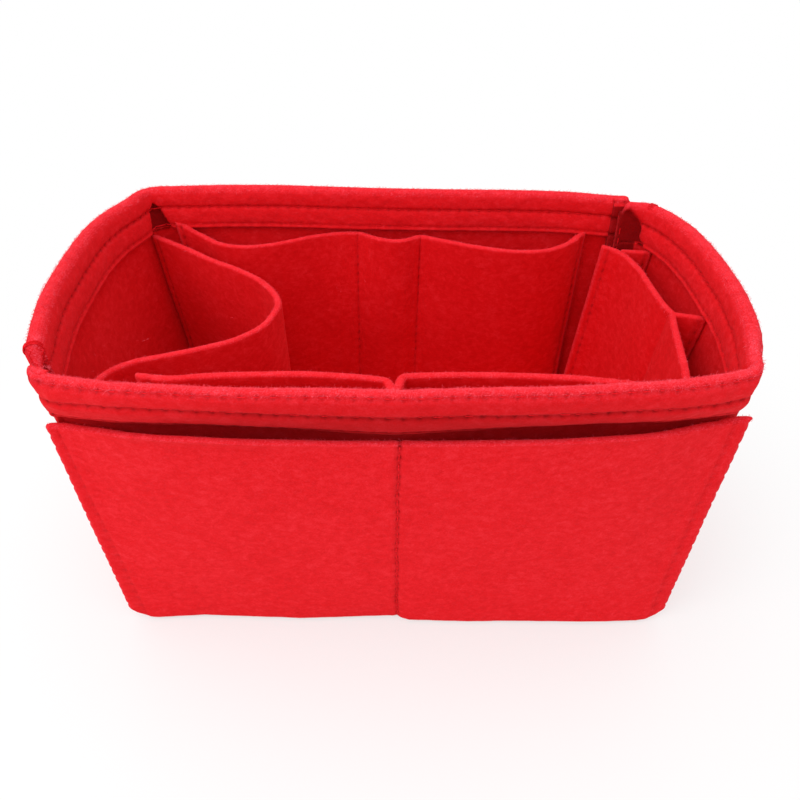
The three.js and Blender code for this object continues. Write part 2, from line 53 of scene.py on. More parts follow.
# Overall shape, the same as the solids
FLOOR_LENGTH, FLOOR_WIDTH, WALL_HEIGHT = 228.0, 138.0, 135.0
FRONT_BOW, RIGHT_BOW, REAR_BOW, LEFT_BOW = 13.5, 18.5, 4.2, 14.0
FRONT_LEFT_FLARE, FRONT_RIGHT_FLARE = (4.5, 1.0), (2.8, 0.0)
REAR_RIGHT_FLARE, REAR_LEFT_FLARE = (-4.5, 1.5), (13.0, 11.0)
FRONT_BOW_SHARES = [0, 0.68, 0.94, 0.99, 1, 0.99, 0.94, 0.68, 0]
RIGHT_BOW_SHARES = [0.04, 0.43, 0.7, 0.87, 0.955, 1, 0.93, 0.66, 0.1]
REAR_BOW_SHARES = [0, 0.93, 1, 0.8, 0.6, 0.6, 0.6, 0.5, 0]
LEFT_BOW_SHARES = [0.15, 0.66, 0.94, 1, 0.97, 0.9, 0.7, 0.41, 0.1]
RIGHT_FOLD, LEFT_FOLD, TURN_IN, TURN_RADIUS = 5.0, 12.0, 5.0, 3.3
RIGHT_END_SWEEP, LEFT_END_SWEEP, TURN_SHARE = 8.5, 3.5, 0.9
RIGHT_TIP = 2.2  # shorter than in the solids
FRONT_SIDE = -50  # only the front wall lies at a lower y

# Hem
HEM_THICKNESS, HEM_DEPTH = 5.7, 19.5
ROW_DEPTHS = (1.3, 9.1, 17.5)
ROW_NAMES = ("top", "middle", "bottom")
HEM_FOOT = WALL_HEIGHT - HEM_DEPTH
PINCH = WALL_HEIGHT - ROW_DEPTHS[2] - 0.6
MOUTH_START = 124.0
RIM_START, RIM_RISE = 132.6, 2.4
DROP_START = 108
DROP_REACH = WALL_HEIGHT - DROP_START

# Outer pocket
POCKET_HEIGHT = 113.5
POCKET_LEFT_OVERHANGS, POCKET_RIGHT_OVERHANGS = (4.0, 4.5), (1.0, 3.0)
POCKET_TUCK, POCKET_MOUTH, SIDE_SEAM_INSET = 2.0, 7.5, 3.5

# Panels inside
PANEL_FOOT, PANEL_TOP = 4.2, 114.8
REAR_POCKET_SHARES = (0.073, 0.441, 0.581, 0.99)
REAR_POCKET_FOOT_SHARES = (0.1, 0.483, 0.628, 0.98)
REAR_POCKET_BULGES = (
    [0.5, 10.6, 17.4, 19.4, 18.6, 15.8, 12.0, 7.4, 3.4],
    [3.4, 8.0, 8.4, 5.4, 0.4],
    [0.4, 1.8, 5.6, 11.6, 16.2, 17.6, 14.2, 4.4, 0.3],
)
FRONT_POCKET_SHARES = (0.13, 0.5, 0.838)
FRONT_POCKET_BULGES = (
    [0.6, 1.6, 4.7, 6.9, 8.1, 8.8, 8.6, 7.7, 6.0],
    [8.2, 8.7, 8.8, 8.5, 7.9, 6.9, 5.4, 2.9, 0.3],
)
FRONT_POCKET_TOP = 129.5
FRONT_PINCH = (1.7, 1.5)
FRONT_CORNER_LIFTS = (5.0, 1.5)
HOLDER_PLAN = [
    (-0.451, 0.396), (-0.388, 0.314), (-0.329, 0.25), (-0.276, 0.177), (-0.243, 0.107),
    (-0.225, 0.04), (-0.226, -0.02), (-0.241, -0.099), (-0.28, -0.166), (-0.333, -0.21),
    (-0.386, -0.243), (-0.437, -0.275), (-0.47, -0.33),
]
CELL_PLAN = [
    (0.428, 0.414), (0.45, 0.384), (0.466, 0.338), (0.477, 0.244), (0.479, 0.16), (0.481, 0.072),
    (0.483, -0.029), (0.478, -0.116), (0.464, -0.243), (0.45, -0.346), (0.437, -0.42),
]
CELL_LEAN, CELL_FRONT_SHARE = 8.9, 0.945


# ------ plan lines
def bell(gap, width):
    """1 where the gap is 0, falling smoothly to 0 on both sides."""
    return np.exp(-(gap / width) ** 2)


def catmull(values, t):
    """A smooth curve through evenly spaced values, at shares t."""
    v = np.asarray(values, float).reshape(len(values), -1)
    last = len(v) - 1
    p = last * np.clip(t, 0, 1)
    i = np.minimum(np.floor(p).astype(int), last)
    w = (p - i)[:, None]
    p0, p1 = v[np.maximum(i - 1, 0)], v[i]
    p2, p3 = v[np.minimum(i + 1, last)], v[np.minimum(i + 2, last)]
    v0, v1 = (p2 - p0) / 2, (p3 - p1) / 2
    return (2 * p1 - 2 * p2 + v0 + v1) * w**3 + (3 * p2 - 3 * p1 - 2 * v0 - v1) * w**2 + v0 * w + p1


def way_along(line):
    """The way walked at each point of a flat line."""
    return np.concatenate([[0], np.cumsum(np.hypot(*np.diff(line, axis=0).T))])


def resample(at, way, values):
    """Rows of values at places along a way."""
    return np.stack([np.interp(at, way, column) for column in values.T], 1)


def spaced(points, count):
    """Points a same way apart along the smooth curve through the given ones."""
    fine = catmull(points, np.linspace(0, 1, 900))
    way = way_along(fine)
    return resample(np.linspace(0, way[-1], count), way, fine)


def normals_of(line):
    """Left normals, halfway between the stretches on both sides."""
    way = np.diff(line, axis=0)
    way /= np.maximum(np.hypot(*way.T), 1e-9)[:, None]
    left = np.stack([-way[:, 1], way[:, 0]], 1)
    both = np.concatenate([left[:1], left]) + np.concatenate([left, left[-1:]])
    return both / np.hypot(*both.T)[:, None]


def corner_at(sign_x, sign_y, flare, z):
    share = z / WALL_HEIGHT
    return np.array([sign_x * (FLOOR_LENGTH / 2 + flare[0] * share), sign_y * (FLOOR_WIDTH / 2 + flare[1] * share)])


def tuck_at(z):
    """How far the front wall stands in, behind the outer pocket's top."""
    above = max((PINCH - z) / (PINCH - POCKET_HEIGHT), 0)
    return np.array([0, POCKET_TUCK * min(above, z / POCKET_HEIGHT)])


def front_left(z): return corner_at(-1, -1, FRONT_LEFT_FLARE, z) + tuck_at(z)
def front_right(z): return corner_at(1, -1, FRONT_RIGHT_FLARE, z) + tuck_at(z)
def rear_right(z): return corner_at(1, 1, REAR_RIGHT_FLARE, z)
def rear_left(z): return corner_at(-1, 1, REAR_LEFT_FLARE, z)


def side_points(a, b, bow, shares, z, t):
    """A side that bows out between corners a and b, at shares t."""
    t = np.asarray(t, float)
    way = (b - a) / np.hypot(*(b - a))
    out = np.array([way[1], -way[0]])
    return a + np.outer(t, b - a) + np.outer(bow * catmull(shares, t)[:, 0] * z / WALL_HEIGHT, out)


def front_seam_points(z, t):
    a = front_left(z) + (TURN_RADIUS, 0)
    b = front_right(z) - (RIGHT_FOLD, 0)
    return side_points(a, b, FRONT_BOW, FRONT_BOW_SHARES, z, t)


def mouth_at(z, t):
    """How far the wall stands back from the outer pocket's two mouths."""
    if z >= MOUTH_START:
        return np.zeros(len(t))
    between = np.sqrt((np.sin(2 * np.pi * np.asarray(t)) ** 2 + 0.03) / 1.03)
    if z <= POCKET_HEIGHT:
        return POCKET_MOUTH * between * (z / POCKET_HEIGHT) ** 2
    return POCKET_MOUTH * between * ((MOUTH_START - z) / (MOUTH_START - POCKET_HEIGHT)) ** 1.3


def front_wall_points(z, t):
    line = front_seam_points(z, t)
    line[:, 1] += mouth_at(z, t)
    return line


def rear_wall_points(z, t):
    a = rear_right(z) - (TURN_RADIUS, 0)
    b = rear_left(z) + (LEFT_FOLD, 0)
    return side_points(a, b, REAR_BOW, REAR_BOW_SHARES, z, t)


def turn(a, corner, b, steps):
    t = np.linspace(0, 1, steps + 1)[:, None]
    return (1 - t) ** 2 * a + 2 * t * (1 - t) * corner + t**2 * b


def turned_start(corner, along, inward):
    """A strip's first end, folded flat against its own wall."""
    flat = np.linspace(TURN_RADIUS + TURN_IN, TURN_RADIUS, 7)[:-1]
    line = [corner + along * step + inward * 2 * TURN_RADIUS for step in flat]
    for angle in np.linspace(0, math.pi, 19)[:-1]:
        step, depth = TURN_RADIUS * (1 - math.sin(angle)), TURN_RADIUS * (1 + math.cos(angle))
        line.append(corner + along * step + inward * depth)
    return np.array(line)


def swept_end(last, corner, along, inward, sweep, tip_length=TURN_IN):
    """A strip's last end, swept in against the other strip's folded start."""
    depth = 2 * TURN_RADIUS + 0.3
    bend = corner - along * sweep + inward * depth
    flat = corner + along * TURN_RADIUS + inward * depth
    tip = [corner + along * (TURN_RADIUS + tip_length * k / 6) + inward * depth for k in range(1, 7)]
    return np.concatenate([turn(last, bend, flat, 16)[1:], tip])


X, Y = np.array([1.0, 0]), np.array([0, 1.0])
START = 24
FRONT_STEPS, FRONT_FOLD_STEPS, RIGHT_STEPS = 264, 12, 144
REAR_STEPS, REAR_FOLD_STEPS, LEFT_STEPS = 250, 20, 146


def front_right_line(z):
    a, b, c = front_left(z), front_right(z), rear_right(z)
    front = front_wall_points(z, np.linspace(0, 1, FRONT_STEPS + 1))
    fold_end = b + (c - b) / np.hypot(*(c - b)) * RIGHT_FOLD
    end = side_points(fold_end, c, RIGHT_BOW, RIGHT_BOW_SHARES, z, np.linspace(0, TURN_SHARE, RIGHT_STEPS + 1))
    bend = b * 0.45 + (front[-1] + end[0]) * 0.275
    fold = turn(front[-1], bend, end[0], FRONT_FOLD_STEPS)[1:-1]
    tail = swept_end(end[-1], c, -X, -Y, RIGHT_END_SWEEP, RIGHT_TIP)
    return np.concatenate([turned_start(a, X, Y), front, fold, end, tail])


def rear_left_line(z):
    a, b, c = rear_right(z), rear_left(z), front_left(z)
    rear = rear_wall_points(z, np.linspace(0, 1, REAR_STEPS + 1))
    fold_end = b + (0, -LEFT_FOLD)
    end = side_points(fold_end, c, LEFT_BOW, LEFT_BOW_SHARES, z, np.linspace(0, TURN_SHARE, LEFT_STEPS + 1))
    fold = turn(rear[-1], b, end[0], REAR_FOLD_STEPS)[1:-1]
    tail = swept_end(end[-1], c, X, Y, LEFT_END_SWEEP)
    return np.concatenate([turned_start(a, -X, -Y), rear, fold, end, tail])


# ------ felt shells
def table_of(line_at, low, high, count):
    """A panel's plan line and normals at even heights, and the way along it."""
    heights = np.linspace(low, high, count)
    lines = np.array([line_at(z) for z in heights])
    sides = np.array([normals_of(line) for line in lines])
    return {"heights": heights, "lines": lines, "sides": sides, "way": way_along(lines[int(count * 0.85)])}


def place(table, z, off):
    """Points in millimetres at heights z and offsets off, both of stations by section."""
    heights = table["heights"]
    f = np.clip((z - heights[0]) / (heights[1] - heights[0]), 0, len(heights) - 1.0001)
    low, share = np.floor(f).astype(int), (f - np.floor(f))[..., None]
    i = np.arange(z.shape[0])[:, None]
    line, side = (table[k][low, i] * (1 - share) + table[k][low + 1, i] * share for k in ("lines", "sides"))
    return np.concatenate([line + side * off[..., None], z[..., None]], 2)


def faced(table, z, off, outward=1):
    """Points at heights z and one offset, and the way out of the felt's face there."""
    off = off + np.zeros_like(z)
    points = place(table, z, off)
    return points, place(table, z, off + outward) - points


def uneven(points, size, seed):
    """Soft noise at points in millimetres, about -1 to 1."""
    flat = points.reshape(-1, 3) / size + seed
    return np.array([noise.noise(Vector(p)) for p in flat]).reshape(points.shape[:-1])


def add_object(name, data):
    piece = bpy.data.objects.new(name, data)
    bpy.context.scene.collection.objects.link(piece)
    return piece


def shell(name, points, material, edge=0.0, painted_shade=0.0):
    """A closed body from a loop of section points at each station; edge is paint for its material's pale fuzz and
    painted highlight, the other paint for its painted shade.
    """
    stations, count = points.shape[:2]
    edge, painted_shade = (np.broadcast_to(paint, (stations, count)) for paint in (edge, painted_shade))
    bm = bmesh.new()
    edge_layer = bm.verts.layers.float.new("edge")
    seam_layer = bm.verts.layers.float.new("painted_shade")
    bmesh.ops.create_grid(bm, x_segments=stations - 1, y_segments=count, size=0.5)
    metres = points * MM
    for v in bm.verts:
        i = round((v.co.x + 0.5) * (stations - 1))
        j = round((v.co.y + 0.5) * count) % count
        v.co = metres[i, j]
        v[edge_layer] = edge[i, j]
        v[seam_layer] = painted_shade[i, j]
    bmesh.ops.remove_doubles(bm, verts=bm.verts, dist=2e-6)
    caps = bmesh.ops.holes_fill(bm, edges=[e for e in bm.edges if e.is_boundary], sides=0)["faces"]
    bmesh.ops.triangulate(bm, faces=caps)
    bmesh.ops.recalc_face_normals(bm, faces=bm.faces)
    for face in bm.faces:
        face.smooth = True
    mesh = bpy.data.meshes.new(name)
    bm.to_mesh(mesh)
    bm.free()
    mesh.materials.append(material)
    return add_object(name, mesh)


def dress(piece, node=None):
    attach(piece, "root")
    if node:
        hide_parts(node)


def holes_at(way):
    """How near each place along a seam is to a needle hole, 0 to 1."""
    apart = np.abs(np.asarray(way) / STITCH % 1 - 0.5)
    return bell((0.5 - apart) * STITCH, HOLE_WIDTH)


def unit(rows):
    return rows / np.linalg.norm(rows, axis=1)[:, None]


def thread_run(name, path, out, radius, node, dip=1.1):
    """Thread along a seam's path: it lies in the groove and dives at each needle hole."""
    way = np.concatenate([[0], np.cumsum(np.linalg.norm(np.diff(path, axis=0), axis=1))])
    at = np.linspace(0, way[-1], max(int(way[-1] / THREAD_STEP), 4) + 1)
    path, out = resample(at, way, path), unit(resample(at, way, out))
    loose = np.array([noise.noise(Vector((step / 6.5, radius * 40, len(name)))) for step in at])
    rise = radius * 0.5 - dip * holes_at(at) - 0.28 * np.clip(loose + 0.25, 0, 1) * (dip > 0)
    path = path + out * rise[:, None]
    ahead = unit(np.gradient(path, axis=0))
    side = unit(np.cross(ahead, out))
    up = np.cross(side, ahead)
    angles = np.linspace(0, 2 * math.pi, 7)[:-1]
    ring = [np.cos(a) * up * radius * 0.8 + np.sin(a) * side * radius for a in angles]
    dress(shell(name, path[:, None] + np.stack(ring, 1), thread_red), node)


# ------ materials
def set_inputs(node, values):
    """Sets a node's inputs to values or to other nodes' outputs."""
    for label, value in values.items():
        if isinstance(value, bpy.types.NodeSocket):
            node.id_data.links.new(value, node.inputs[label])
        else:
            node.inputs[label].default_value = value


def new_material(name, roughness, specular=0.5):
    material = bpy.data.materials.new(name)
    material.use_nodes = True
    shader = material.node_tree.nodes["Principled BSDF"]
    set_inputs(shader, {"Roughness": roughness, "Specular IOR Level": specular})
    return material, material.node_tree, shader


def object_place(tree):
    return tree.nodes.new("ShaderNodeTexCoord").outputs["Object"]


def noise_node(tree, vector, scale, detail, rough, distortion=0.0, stretch=None):
    if stretch is not None:
        mapping = tree.nodes.new("ShaderNodeMapping")
        set_inputs(mapping, {"Scale": stretch, "Vector": vector})
        vector = mapping.outputs["Vector"]
    node = tree.nodes.new("ShaderNodeTexNoise")
    set_inputs(node, {
        "Vector": vector, "Scale": scale, "Detail": detail, "Roughness": rough, "Distortion": distortion,
    })
    return node.outputs["Fac"]


def math_node(tree, operation, a, b):
    node = tree.nodes.new("ShaderNodeMath")
    node.operation = operation
    set_inputs(node, {0: a, 1: b})
    return node.outputs["Value"]


def weighted_sum(tree, first, *others):
    """The sum of nodes' values, each given with its weight."""
    total = math_node(tree, "MULTIPLY", *first)
    for part in others:
        total = math_node(tree, "ADD", total, math_node(tree, "MULTIPLY", *part))
    return total


def make_felt_fibres():
    """Matted fibres: a tone that is near 0.5, a height, and fluff that breaks up the pale fuzz and painted highlight
    on the edges.
    """
    group = bpy.data.node_groups.new("felt_fibres", "ShaderNodeTree")
    group.interface.new_socket("Vector", in_out="INPUT", socket_type="NodeSocketVector")
    for label in ("Tone", "Height", "Fluff"):
        group.interface.new_socket(label, in_out="OUTPUT", socket_type="NodeSocketFloat")
    vector = group.nodes.new("NodeGroupInput").outputs["Vector"]
    cloud = noise_node(group, vector, 60, 2, 0.5)
    streak = noise_node(group, vector, 380, 3, 0.55, 0.6, (0.75, 0.75, 1.1))
    swirl = noise_node(group, vector, 900, 4, 0.65, 1.6)
    hair = noise_node(group, vector, 2200, 3, 0.7, 2.5)
    speck = noise_node(group, vector, 1300, 3, 0.65, 2.0)
    tone = weighted_sum(group, (streak, 0.38), (swirl, 0.32), (hair, 0.2), (cloud, 0.1))
    height = weighted_sum(group, (swirl, 0.7), (hair, 0.5), (streak, 0.5))
    fluff = math_node(group, "MULTIPLY", math_node(group, "SUBTRACT", speck, 0.46), 5.5)
    fluff = math_node(group, "MINIMUM", math_node(group, "MAXIMUM", fluff, 0.15), 1.3)
    set_inputs(group.nodes.new("NodeGroupOutput"), {"Tone": tone, "Height": height, "Fluff": fluff})
    return group


def linear(r, g, b):
    """A colour in shares of 255, as the renderer's linear one."""
    shares = (c / 12.92 if c <= 0.04045 else ((c + 0.055) / 1.055) ** 2.4 for c in (r / 255, g / 255, b / 255))
    return (*shares, 1)


def ramp_node(tree, value, stops):
    node = tree.nodes.new("ShaderNodeValToRGB")
    ramp = node.color_ramp
    while len(ramp.elements) < len(stops):
        ramp.elements.new(0.5)
    for element, (position, colour) in zip(ramp.elements, stops):
        element.position = position
        element.color = linear(*colour)
    set_inputs(node, {"Fac": value})
    return node.outputs["Color"]


def mix_colour(tree, share, a, b):
    node = tree.nodes.new("ShaderNodeMix")
    node.data_type = "RGBA"
    set_inputs(node, {0: share, 6: a, 7: b})
    return node.outputs[2]


def attribute(tree, name):
    node = tree.nodes.new("ShaderNodeAttribute")
    node.attribute_name = name
    return node.outputs["Fac"]


def make_felt(name, dark, mid, light, fuzz_highlight_colour, sunk, sheen, bump):
    """Felt: three tones, a pale fuzzy one where edge is painted, partly a painted highlight and sheen, and a dark
    one for painted shade.
    """
    material, tree, shader = new_material(name, 0.92, 0.12)
    group = tree.nodes.new("ShaderNodeGroup")
    group.node_tree = felt_fibres
    set_inputs(group, {"Vector": object_place(tree)})
    colour = ramp_node(tree, group.outputs["Tone"], [(0.34, dark), (0.5, mid), (0.67, light)])
    # Pale fuzz colour where edge is painted, broken up by fluff: partly real fuzz, partly a painted highlight and
    # sheen.
    fuzz_and_sheen = math_node(tree, "MULTIPLY", attribute(tree, "edge"), group.outputs["Fluff"])
    colour = mix_colour(tree, fuzz_and_sheen, colour, linear(*fuzz_highlight_colour))
    # Painted shade: the dark colour goes into grooves, needle holes and recesses, where the felt would lie in shade.
    colour = mix_colour(tree, attribute(tree, "painted_shade"), colour, linear(*sunk))
    relief = tree.nodes.new("ShaderNodeBump")
    set_inputs(relief, {"Strength": bump, "Distance": 0.0004, "Height": group.outputs["Height"]})
    set_inputs(shader, {
        "Base Color": colour, "Normal": relief.outputs["Normal"], "Sheen Weight": sheen,
        "Sheen Roughness": 0.4, "Sheen Tint": (1.0, 0.2, 0.22, 1),
    })
    return material


def make_thread():
    material, tree, shader = new_material("thread_red", 0.75, 0.08)
    twist = noise_node(tree, object_place(tree), 1500, 2, 0.5, 0.5)
    set_inputs(shader, {"Base Color": ramp_node(tree, twist, [(0.35, (204, 8, 16)), (0.65, (236, 30, 42))])})
    return material


felt_fibres = make_felt_fibres()
# The pale fuzzy colour is partly a painted highlight and sheen; the sunk colour is painted shade.
felt_red = make_felt(
    "felt_red", dark=(212, 7, 14), mid=(228, 15, 23), light=(240, 42, 52),
    fuzz_highlight_colour=(255, 88, 108), sunk=(118, 1, 3), sheen=0.05, bump=0.4,
)
thread_red = make_thread()


# ------ wall strips with their hems
MIDDLE_SEAM = -0.7  # its x on the front

# Along x on the front wall: how far its foot stands in, its hem's ends swell and the shade lies under the hem
FOOT_PLACES = [-118, -106, -86, -60, -44, -15, -2, 4, 30, 85, 103, 112, 118]
FOOT_SHIFTS = [0.4, -0.7, 1.0, -0.4, -1.0, 0.2, 0.6, -1.8, -2.6, -2.8, -2.4, -0.6, 0]
SWELL_PLACES = [-118.3, -116.5, -114, -110, -106, -96, -84, -72, -20, 0, 20, 68, 77, 87, 100, 109, 112, 115, 117.2]
SWELL = [0, 2.4, 4.2, 4.8, 4.8, 2.8, 0.8, 0, 0.2, 1.0, 0.2, 0, 0.4, 1.6, 4.2, 4.2, 3.8, 1.8, 0]
SHADE_PLACES = [-116, -100, -75, -45, -10, 10, 40, 75, 100, 116]
SHADE = [0.02, 0.08, 0.2, 0.44, 0.5, 0.5, 0.46, 0.3, 0.16, 0.05]


def pocket_sway(points):
    """The middle seam drifts a little to the right towards its top, and puckers the felt."""
    x, z = points[..., 0], points[..., 2]
    drift = 1.7 * (z / POCKET_HEIGHT) ** 2 - 0.4
    points[..., 0] += bell(x - MIDDLE_SEAM, 14) * (drift + 0.25 * np.sin(z / 3.7) * np.sin(z / 11))
    return front_sway(points)


def front_sway(points):
    """The foot of the front stands in and out a little where it is sewn to the floor."""
    x, y, z = np.moveaxis(points, -1, 0)
    fade = np.clip(1 - z / 50, 0, 1) ** 2 * np.clip((FRONT_SIDE - y) / 14, 0, 1)
    points[..., 1] += np.interp(x, FOOT_PLACES, FOOT_SHIFTS) * fade
    return points


def settle(points):
    """The front's hem swells forward near its corners, its ends draw in, and its rows wander up a little."""
    points = front_sway(points)
    x, y, z = np.moveaxis(points, -1, 0)
    on_front = y < FRONT_SIDE
    points[..., 1] -= np.interp(x, SWELL_PLACES, SWELL) * np.interp(z, [112.5, 124], [0, 1]) * on_front
    round_ = np.interp(z, [112.5, 118, 129, 134.5], [0, 1, 1, 0.2]) * np.interp(np.abs(x), [109, 115], [0, 1])
    points[..., 0] -= np.sign(x) * 1.4 * round_ * np.clip((-56 - y) / 8, 0, 1)
    wander = np.interp(z, [117, 125.9, 133], [0, 1.5, 0]) * np.interp(x, [-110, -95, -55, -20], [0.4, 1, 1, 0])
    wander = wander + np.interp(z, [111, 115, 121], [0, 1, 0]) * bell(x + 1, 16)
    points[..., 2] += rim_lift(points) + wander * on_front
    return points


def rim_lift(points):
    """The rim stands a little higher at the rear left than at the rear right."""
    x, y, z = np.moveaxis(points, -1, 0)
    rear = np.clip((y - 20) / 50, 0, 1)
    rise = np.interp(x, [-125, -60, 20, 110], [0.6, 1.2, 0.2, -0.4])
    return rear * rise * np.clip(z / WALL_HEIGHT, 0, 1) ** 2


def hem_relief(depth):
    """How far the hem's faces stand out (positive) at a depth below the rim."""
    relief = np.zeros_like(depth)
    bounds = (0.0, *ROW_DEPTHS, HEM_DEPTH + 1)
    for a, b, puff in zip(bounds, bounds[1:], (0.15, 0.5, 0.45, 0.25)):
        inside = (depth >= a) & (depth <= b)
        relief = np.where(inside, puff * np.sin(np.pi * (depth - a) / (b - a)) ** 0.8, relief)
    return relief


def groove(depth, strengths):
    return np.max([k * bell(depth - row, GROOVE_WIDTH) for row, k in zip(ROW_DEPTHS, strengths)], axis=0)


# What each place of a wall's section is, from its outer foot over the rim and down inside
OUTSIDE, BAND, RIM, LINING, RAW_EDGE, INSIDE, SOLE_IN, SOLE_OUT = range(8)
RAW_EDGE_Z, RAW_EDGE_OFF = (0.05, -0.15, -0.2, -0.1), np.array([-0.35, -0.9, -1.8, -2.6])
SOLE_ROUND = 0.6
# Pale fuzz paint: on the rim, raw edges and cut ends it is partly a painted highlight, on the felt's faces partly a
# painted sheen, and on the front rim's top a painted highlight only.
RIM_FUZZ_AND_HIGHLIGHT, FRONT_RIM_HIGHLIGHT, RAW_FUZZ_AND_HIGHLIGHT, END_FUZZ_AND_HIGHLIGHT, FELT_FUZZ_AND_SHEEN = 0.4, 0.5, 0.7, 0.3, 0.1
INNER_ROWS, INNER_SUNK, OUTER_SUNK = (0.1, 1.15, 0.6), 0.35, (0.33, 0.12, 0.3)


def wall_section():
    """The heights round a wall's section, what each of them is, and the angles over the rim."""
    low = np.concatenate([[0.5, 1.5], np.linspace(4, 108, 30), [110.5, 112.3, POCKET_HEIGHT]])
    rows = np.linspace(114.2, RIM_START, 40)
    arc = np.linspace(0, math.pi, 13)[1:-1]
    lining = rows[rows > HEM_FOOT + 0.3][::-1]
    raw = HEM_FOOT + np.array(RAW_EDGE_Z)
    parts = (low, rows, RIM_START + RIM_RISE * np.sin(arc), lining, raw, low[::-1], [0], [0])
    return np.concatenate(parts), np.repeat(range(8), [len(part) for part in parts]), arc


def flap_of(way, depth, hem, fold):
    """Where the hem's inner layer lies, nearly 0 to 1: not past its ends or in the corner's fold."""
    at = np.arange(len(way))[:, None]
    first, last, lean = hem
    flap = 1 / (1 + np.exp(-(at - first) / 0.5)) / (1 + np.exp((at - last + lean * depth) / 0.5))
    wide = np.interp(depth, [6.0, 9.0, HEM_DEPTH], [0.0, 4.5, 9.0])
    from_fold = np.abs(way - way[fold])[:, None]
    flap = flap * (1 - 0.97 / (1 + np.exp((from_fold - wide) / 0.25)) * (wide > 0))
    return np.clip(flap, np.where(at < START + 6, 0.28, 0.02), 1)


def front_shade(points, z, kinds):
    """Under the hem of the front wall the felt lies in shade, and the hem's lower band turns in a little."""
    x, front = points[..., 0], points[..., 1] < FRONT_SIDE
    band = np.interp(z, [115, 118, 125, 127, 131.5, 133], [1.2, 1, 0.85, 0.4, 0.35, 0]) * (kinds == BAND)
    gap = np.interp(z, [96, 104, 114, 115], [0, 0.8, 1, 0]) * (kinds == OUTSIDE)
    shade = np.interp(x, SHADE_PLACES, SHADE) * band
    return (shade + 0.32 * gap * np.interp(np.abs(x), [95, 110], [1, 0.4])) * front


def make_wall(name, line_at, node, hem, seed, drop, fold, creases):
    """A wall strip: hem is its flap's first and last station and slant, drop how far its top falls at each."""
    table = table_of(line_at, 0, WALL_HEIGHT, 109)
    way = table["way"]
    at = np.arange(len(way))[:, None]
    z, kinds, arc = wall_section()
    band, rim, lining, raw = (kinds == kind for kind in (BAND, RIM, LINING, RAW_EDGE))
    depth = WALL_HEIGHT - z
    flap = flap_of(way, depth, hem, fold)
    thick = FELT + (HEM_THICKNESS - FELT) * flap
    relief, holes = hem_relief(depth), holes_at(way)[:, None]
    outer_sink, inner_sink = groove(depth, (1, 1, 1)), groove(depth, INNER_ROWS)
    dip = GROOVE_DEPTH * (0.75 + 0.6 * holes)
    shoulder = np.clip(np.cos(arc), 0, 1)
    off = np.zeros_like(flap)
    off[:, band] = (outer_sink * dip - relief)[:, band]
    off[:, rim] = thick[:, rim] * ((1 - np.cos(arc)) / 2) + (outer_sink * dip)[:, rim] * shoulder
    off[:, lining] = (thick - flap * (inner_sink * dip - relief))[:, lining]
    off[:, raw] = np.maximum(thick[:, raw] + RAW_EDGE_OFF, FELT)
    off[:, kinds == INSIDE] = FELT
    off[:, kinds == SOLE_IN] = FELT - SOLE_ROUND
    off[:, kinds == SOLE_OUT] = SOLE_ROUND
    zz = z - drop[:, None] * np.clip((z - DROP_START) / DROP_REACH, 0, 1)
    points = place(table, zz, off)
    lumps = 0.2 * uneven(points, 9, seed) + 0.1 * uneven(points, 2.4, seed + 7)
    lumps += 0.22 * uneven(points, 3.6, seed + 4) * (z > HEM_FOOT)
    points = settle(untangle(place(table, zz, off + lumps * (kinds < SOLE_IN)), creases))
    # Pale fuzz paint, partly a painted highlight on the rim, raw edges and cut ends and a painted sheen on the
    # faces; the inside below the hem is left without it.
    fuzz_and_highlight = bell(depth - 0.2, 2.0) * RIM_FUZZ_AND_HIGHLIGHT * (kinds != INSIDE) + FELT_FUZZ_AND_SHEEN * (kinds <= LINING)
    edge = np.zeros_like(off) + fuzz_and_highlight
    # Painted highlight along the top of the front rim, where the light catches its fuzz.
    edge[:, rim] += FRONT_RIM_HIGHLIGHT * bell(arc - 2.0, 0.5) * (points[:, rim, 1] < FRONT_SIDE)
    edge[:, raw] = RAW_FUZZ_AND_HIGHLIGHT * np.clip(flap[:, raw] * 1.4, 0, 1)
    edge[:2] = edge[-2:] = END_FUZZ_AND_HIGHLIGHT
    # Painted shade in the hem's stitch grooves and needle holes, and on the rim's shoulder along the top row.
    painted_shade = np.where(kinds <= BAND, outer_sink, inner_sink * flap * 0.7) * (0.3 + 0.6 * holes)
    painted_shade[:, (kinds == OUTSIDE) | (kinds >= RAW_EDGE)] = 0
    painted_shade[:, rim] = (outer_sink * (0.25 + 0.45 * holes))[:, rim] * np.clip(shoulder * 3, 0, 1)
    # Painted shade where the hem's inner layer is missing: the bare wall behind it at the corners' folds and at the
    # strips' turned and swept ends. The painted shade under the front's hem is added to it.
    recess_shade = lining * (1 - flap) * 0.85
    tail_end = (at > len(way) - 14) & (kinds >= RIM) & (kinds <= INSIDE)
    recess_shade = np.where(tail_end, (1 - flap) * np.interp(z, [92, 104], [0, 0.85]), recess_shade)
    recess_shade[:8, (z > 108) & (z < 132)] = 0.7
    recess_shade = recess_shade + front_shade(points, z, kinds)
    piece = shell(name, points, felt_red, np.clip(edge, 0, 1), np.clip(painted_shade + recess_shade, 0, 0.9))
    dress(piece, node)
    return table


def cross(a, b):
    return a[..., 0] * b[..., 1] - a[..., 1] * b[..., 0]


